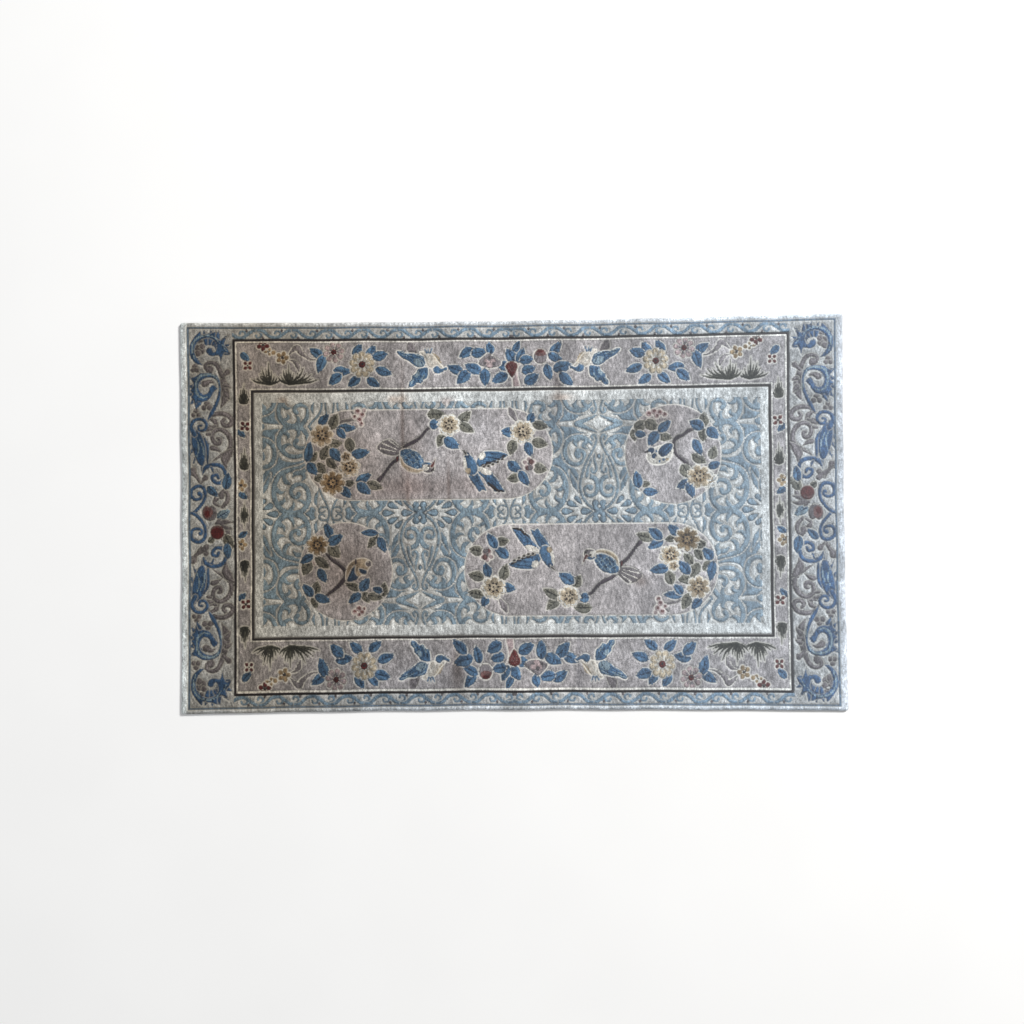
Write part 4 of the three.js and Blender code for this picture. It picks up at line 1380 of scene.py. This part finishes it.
def build_foundation(chart, material):
    """The knotted back: a closed slab under the pile, with the pattern showing on its underside."""
    coarse_x = np.linspace(-LENGTH / 2, LENGTH / 2, (chart.shape[1] - 1) // 2 + 1)
    coarse_y = np.linspace(-WIDTH / 2, WIDTH / 2, (chart.shape[0] - 1) // 2 + 1)
    nx, ny = len(coarse_x), len(coarse_y)
    grid_x, grid_y = (g.ravel() for g in np.meshgrid(coarse_x, coarse_y))

    def ring(x, y, inset, z):
        x, y = round_corners(x, y)
        x = x * (LENGTH / 2 - inset) / (LENGTH / 2)
        y = y * (WIDTH / 2 - inset) / (WIDTH / 2)
        return np.stack([*lie(x, y), np.full(len(x), z)], 1)

    points = [ring(grid_x, grid_y, *BACK_RINGS[0])]
    start = (np.arange(ny - 1)[:, None] * nx + np.arange(nx - 1)).ravel()
    faces = np.stack([start, start + nx, start + nx + 1, start + 1], 1).tolist()
    ink_rows = chart.ink.reshape(chart.shape)[1::2, 1::2]
    inks = ink_rows[: ny - 1, : nx - 1].ravel().tolist()
    bottom = np.arange(nx)
    right = np.arange(1, ny) * nx + nx - 1
    top = np.arange(nx - 2, -1, -1) + (ny - 1) * nx
    left = np.arange(ny - 2, 0, -1) * nx
    loop = np.concatenate([bottom, right, top, left])
    n = len(loop)
    last = loop
    count = nx * ny
    edge_ink = INK["band"]
    for inset, z in BACK_RINGS[1:]:
        points.append(ring(grid_x[loop], grid_y[loop], inset, z))
        this = count + np.arange(n)
        for k in range(n):
            m = (k + 1) % n
            faces.append([int(last[k]), int(last[m]), int(this[m]), int(this[k])])
            inks.append(edge_ink)
        last, count = this, count + n
    side = nx + ny - 1
    low, high = last[:nx], last[side - 1 : side - 1 + nx][::-1]
    for k in range(1, nx - 2):
        faces.append([int(low[k]), int(low[k + 1]), int(high[k + 1]), int(high[k])])
        inks.append(edge_ink)
    right_side = last[nx - 1 : side].tolist()
    left_side = last[side + nx - 2 :].tolist() + [int(last[0])]
    faces.append([int(low[nx - 2])] + right_side + [int(high[nx - 2])])
    faces.append([int(high[1])] + left_side + [int(low[1])])
    inks += [edge_ink, edge_ink]
    points = np.vstack(points)
    return new_piece("foundation", points, faces, np.array(inks), {}, material)


# Materials

# The knots' random tone and, in the three broadest noises, a painted mottled sheen of the silk
SILK_NOISES = [  # waves a metre, detail, stretch, turn, variation
    (420, 1.0, (1, 1, 1), 0.0, 0.36),
    (210, 1.5, (1.0, 0.45, 1), 0.7, 0.36),
    (75, 2.0, (1.2, 0.7, 1), -0.5, 0.24),
    (22, 3.0, (1.3, 0.8, 1), 0.3, 0.26),
    (9, 2.0, (1.2, 0.8, 1), 0.2, 0.20),
]
# Pale outline lines, partly a painted highlight along the carved edges: how strong, and their colour
PALE_LINE_AND_HIGHLIGHT_STRENGTH = 0.85
PALE_LINE_AND_HIGHLIGHT_COLOUR = (0.76, 0.73, 0.66, 1)
# Painted shade in the carved grooves: how strong, and its colour
GROOVE_PAINTED_SHADE = 0.74
GROOVE_SHADE_COLOUR = (0.022, 0.022, 0.022, 1)
# The pale blue-grey that the painted sheen mixes in
PAINTED_SHEEN_COLOUR = (0.46, 0.51, 0.57, 1)
BACK_FADE = 0.25
BACK_FADE_COLOUR = (0.36, 0.34, 0.30, 1)
SILK_FINISH = {"Roughness": 0.72, "Specular IOR Level": 0.22, "Sheen Weight": 0.08, "Sheen Roughness": 0.45}
BACK_FINISH = {"Roughness": 0.9, "Specular IOR Level": 0.2}
FLOOR_FINISH = {"Roughness": 0.9, "Specular IOR Level": 0.1}


class Nodes:
    """Short ways to add a material's nodes."""

    def __init__(self, name):
        self.material = bpy.data.materials.new(name)
        self.material.use_nodes = True
        self.tree = self.material.node_tree
        self.shader = self.tree.nodes["Principled BSDF"]

    def add(self, kind, **settings):
        node = self.tree.nodes.new(kind)
        for key, value in settings.items():
            setattr(node, key, value)
        return node

    def link(self, source, target):
        self.tree.links.new(source, target)

    def attribute(self, name):
        return self.add("ShaderNodeAttribute", attribute_name=name)

    def noise(self, scale, detail=2.0, stretch=(1, 1, 1), turn=0.0, roughness=0.5):
        """Noise over the object's own coordinates, which are in metres."""
        if not hasattr(self, "coordinates"):
            self.coordinates = self.add("ShaderNodeTexCoord").outputs["Object"]
        mapping = self.add("ShaderNodeMapping")
        mapping.inputs["Scale"].default_value = stretch
        mapping.inputs["Rotation"].default_value = (0, 0, turn)
        self.link(self.coordinates, mapping.inputs["Vector"])
        node = self.add("ShaderNodeTexNoise")
        node.inputs["Scale"].default_value = scale
        node.inputs["Detail"].default_value = detail
        node.inputs["Roughness"].default_value = roughness
        self.link(mapping.outputs[0], node.inputs["Vector"])
        return node.outputs["Fac"]

    def spread(self, value, low, high):
        """Noise, which keeps near a half, spread out between low and high."""
        node = self.add("ShaderNodeMapRange")
        node.inputs["From Min"].default_value = 0.3
        node.inputs["From Max"].default_value = 0.7
        node.inputs["To Min"].default_value = low
        node.inputs["To Max"].default_value = high
        self.link(value, node.inputs["Value"])
        return node.outputs[0]

    def times(self, a, b):
        node = self.add("ShaderNodeMath", operation="MULTIPLY")
        for socket, value in zip(node.inputs, (a, b)):
            if isinstance(value, float):
                socket.default_value = value
            else:
                self.link(value, socket)
        return node.outputs[0]

    def finish(self, colour, settings):
        """Gives the shader its colour, and its other values by their names."""
        self.link(colour, self.shader.inputs["Base Color"])
        for name, value in settings.items():
            self.shader.inputs[name].default_value = value

    def bump(self, height, strength, distance):
        node = self.add("ShaderNodeBump")
        node.inputs["Strength"].default_value = strength
        node.inputs["Distance"].default_value = distance
        self.link(height, node.inputs["Height"])
        self.link(node.outputs[0], self.shader.inputs["Normal"])

    def mix(self, mode, amount, a, b):
        node = self.add("ShaderNodeMix", data_type="RGBA", blend_type=mode)
        for socket, value in ((node.inputs[0], amount), (node.inputs[6], a), (node.inputs[7], b)):
            if isinstance(value, (float, tuple)):
                socket.default_value = value
            else:
                self.link(value, socket)
        return node.outputs[2]


def pile_material():
    """Ink under the silk's noises and painted mottled sheen, then the pale line with its painted highlight,
    the groove's painted shade, the painted light and shade with stains, and the painted sheen.
    """
    nodes = Nodes("silk_pile")
    ink = nodes.attribute("ink").outputs["Color"]
    painted_light_and_stain = nodes.attribute("painted_light_and_stain").outputs["Color"]
    line = nodes.attribute("line").outputs["Fac"]
    groove = nodes.attribute("groove").outputs["Fac"]
    shade = 1.0
    # Random tone, and a painted mottled sheen in the broad noises
    for scale, detail, stretch, turn, variation in SILK_NOISES:
        noise = nodes.spread(nodes.noise(scale, detail, stretch, turn), 1 - variation, 1 + variation)
        shade = nodes.times(noise, shade)
    colour = nodes.mix("MULTIPLY", 1.0, ink, shade)
    # Pale line, partly a painted highlight
    pale = nodes.mix("MIX", nodes.times(line, PALE_LINE_AND_HIGHLIGHT_STRENGTH), colour, PALE_LINE_AND_HIGHLIGHT_COLOUR)
    # The grooves' painted shade
    dark = nodes.mix("MIX", nodes.times(groove, GROOVE_PAINTED_SHADE), pale, GROOVE_SHADE_COLOUR)
    # Painted light and shade, with stains
    with_painted_light_and_stain = nodes.mix("MULTIPLY", 1.0, dark, painted_light_and_stain)
    # Painted sheen
    with_painted_sheen = nodes.mix("MIX", nodes.attribute("painted_sheen").outputs["Fac"], with_painted_light_and_stain, PAINTED_SHEEN_COLOUR)
    nodes.finish(with_painted_sheen, SILK_FINISH)
    fibres = nodes.noise(300, 2.0, (1.0, 0.5, 1), turn=0.7, roughness=0.6)
    nodes.bump(fibres, strength=0.7, distance=0.0016)
    return nodes.material


def back_material():
    nodes = Nodes("knotted_back")
    ink = nodes.attribute("ink").outputs["Color"]
    knots = nodes.spread(nodes.noise(500, 1.0), 0.85, 1.15)
    colour = nodes.mix("MULTIPLY", 1.0, ink, knots)
    faded = nodes.mix("MIX", BACK_FADE, colour, BACK_FADE_COLOUR)
    nodes.finish(faded, BACK_FINISH)
    rows = nodes.noise(450, 1.0, (1.0, 2.2, 1))
    nodes.bump(rows, strength=0.5, distance=0.0006)
    return nodes.material


def floor_material():
    nodes = Nodes("floor")
    speckle = nodes.spread(nodes.noise(3, 2.0), 0.88, 0.90)
    nodes.finish(speckle, FLOOR_FINISH)
    return nodes.material


random = np.random.default_rng(11)
chart = draw_pattern()
pile = build_pile(chart, pile_material())
foundation = build_foundation(chart, back_material())


# Floor, lights and camera, in metres

FLOOR_SIZE = 60
LIGHTS = [  # name, place, size, power, colour
    ("key", (5.0, 4.6, 5.0), 2.0, 900, (1.0, 0.99, 0.97)),
    ("fill", (-5.0, -3.0, 6.0), 3.0, 130, (0.96, 0.98, 1.0)),
]
SKY_STRENGTH = 0.28
CAMERA_PLACE = (0.07689, -0.05202, 2.8)
CAMERA_TURN = (0.02058, 0.02665, -0.0094)
CAMERA_LENS = 42.909


def add_floor():
    bpy.ops.mesh.primitive_plane_add(size=FLOOR_SIZE, location=(0, 0, 0))
    floor = bpy.context.object
    floor.name = "floor"
    floor.data.materials.append(floor_material())


def add_area_light(name, location, size, power, colour):
    """A round light that points at the rug's middle."""
    light = bpy.data.lights.new(name, "AREA")
    light.shape = "DISK"
    light.size = size
    light.energy = power
    light.color = colour
    lamp = bpy.data.objects.new(name, light)
    lamp.location = location
    lamp.rotation_euler = (-Vector(location)).to_track_quat("-Z", "Y").to_euler()
    bpy.context.scene.collection.objects.link(lamp)


def add_camera():
    """Looking almost straight down, a little off square, as the photo was taken."""
    camera = bpy.data.cameras.new("photo_camera")
    camera.sensor_width = 36
    camera.lens = CAMERA_LENS
    camera.dof.use_dof = False
    eye = bpy.data.objects.new("photo_camera", camera)
    eye.location = CAMERA_PLACE
    eye.rotation_euler = CAMERA_TURN
    bpy.context.scene.collection.objects.link(eye)
    bpy.context.scene.camera = eye


def add_sky():
    """Even white light from all round, and plain display of the colours."""
    world = bpy.data.worlds.new("studio")
    world.use_nodes = True
    background = world.node_tree.nodes["Background"].inputs
    background["Color"].default_value = (1, 1, 1, 1)
    background["Strength"].default_value = SKY_STRENGTH
    scene = bpy.context.scene
    scene.world = world
    scene.view_settings.view_transform = "Standard"
    scene.view_settings.look = "None"
    scene.view_settings.exposure = 0


add_floor()
for light in LIGHTS:
    add_area_light(*light)
add_sky()
add_camera()
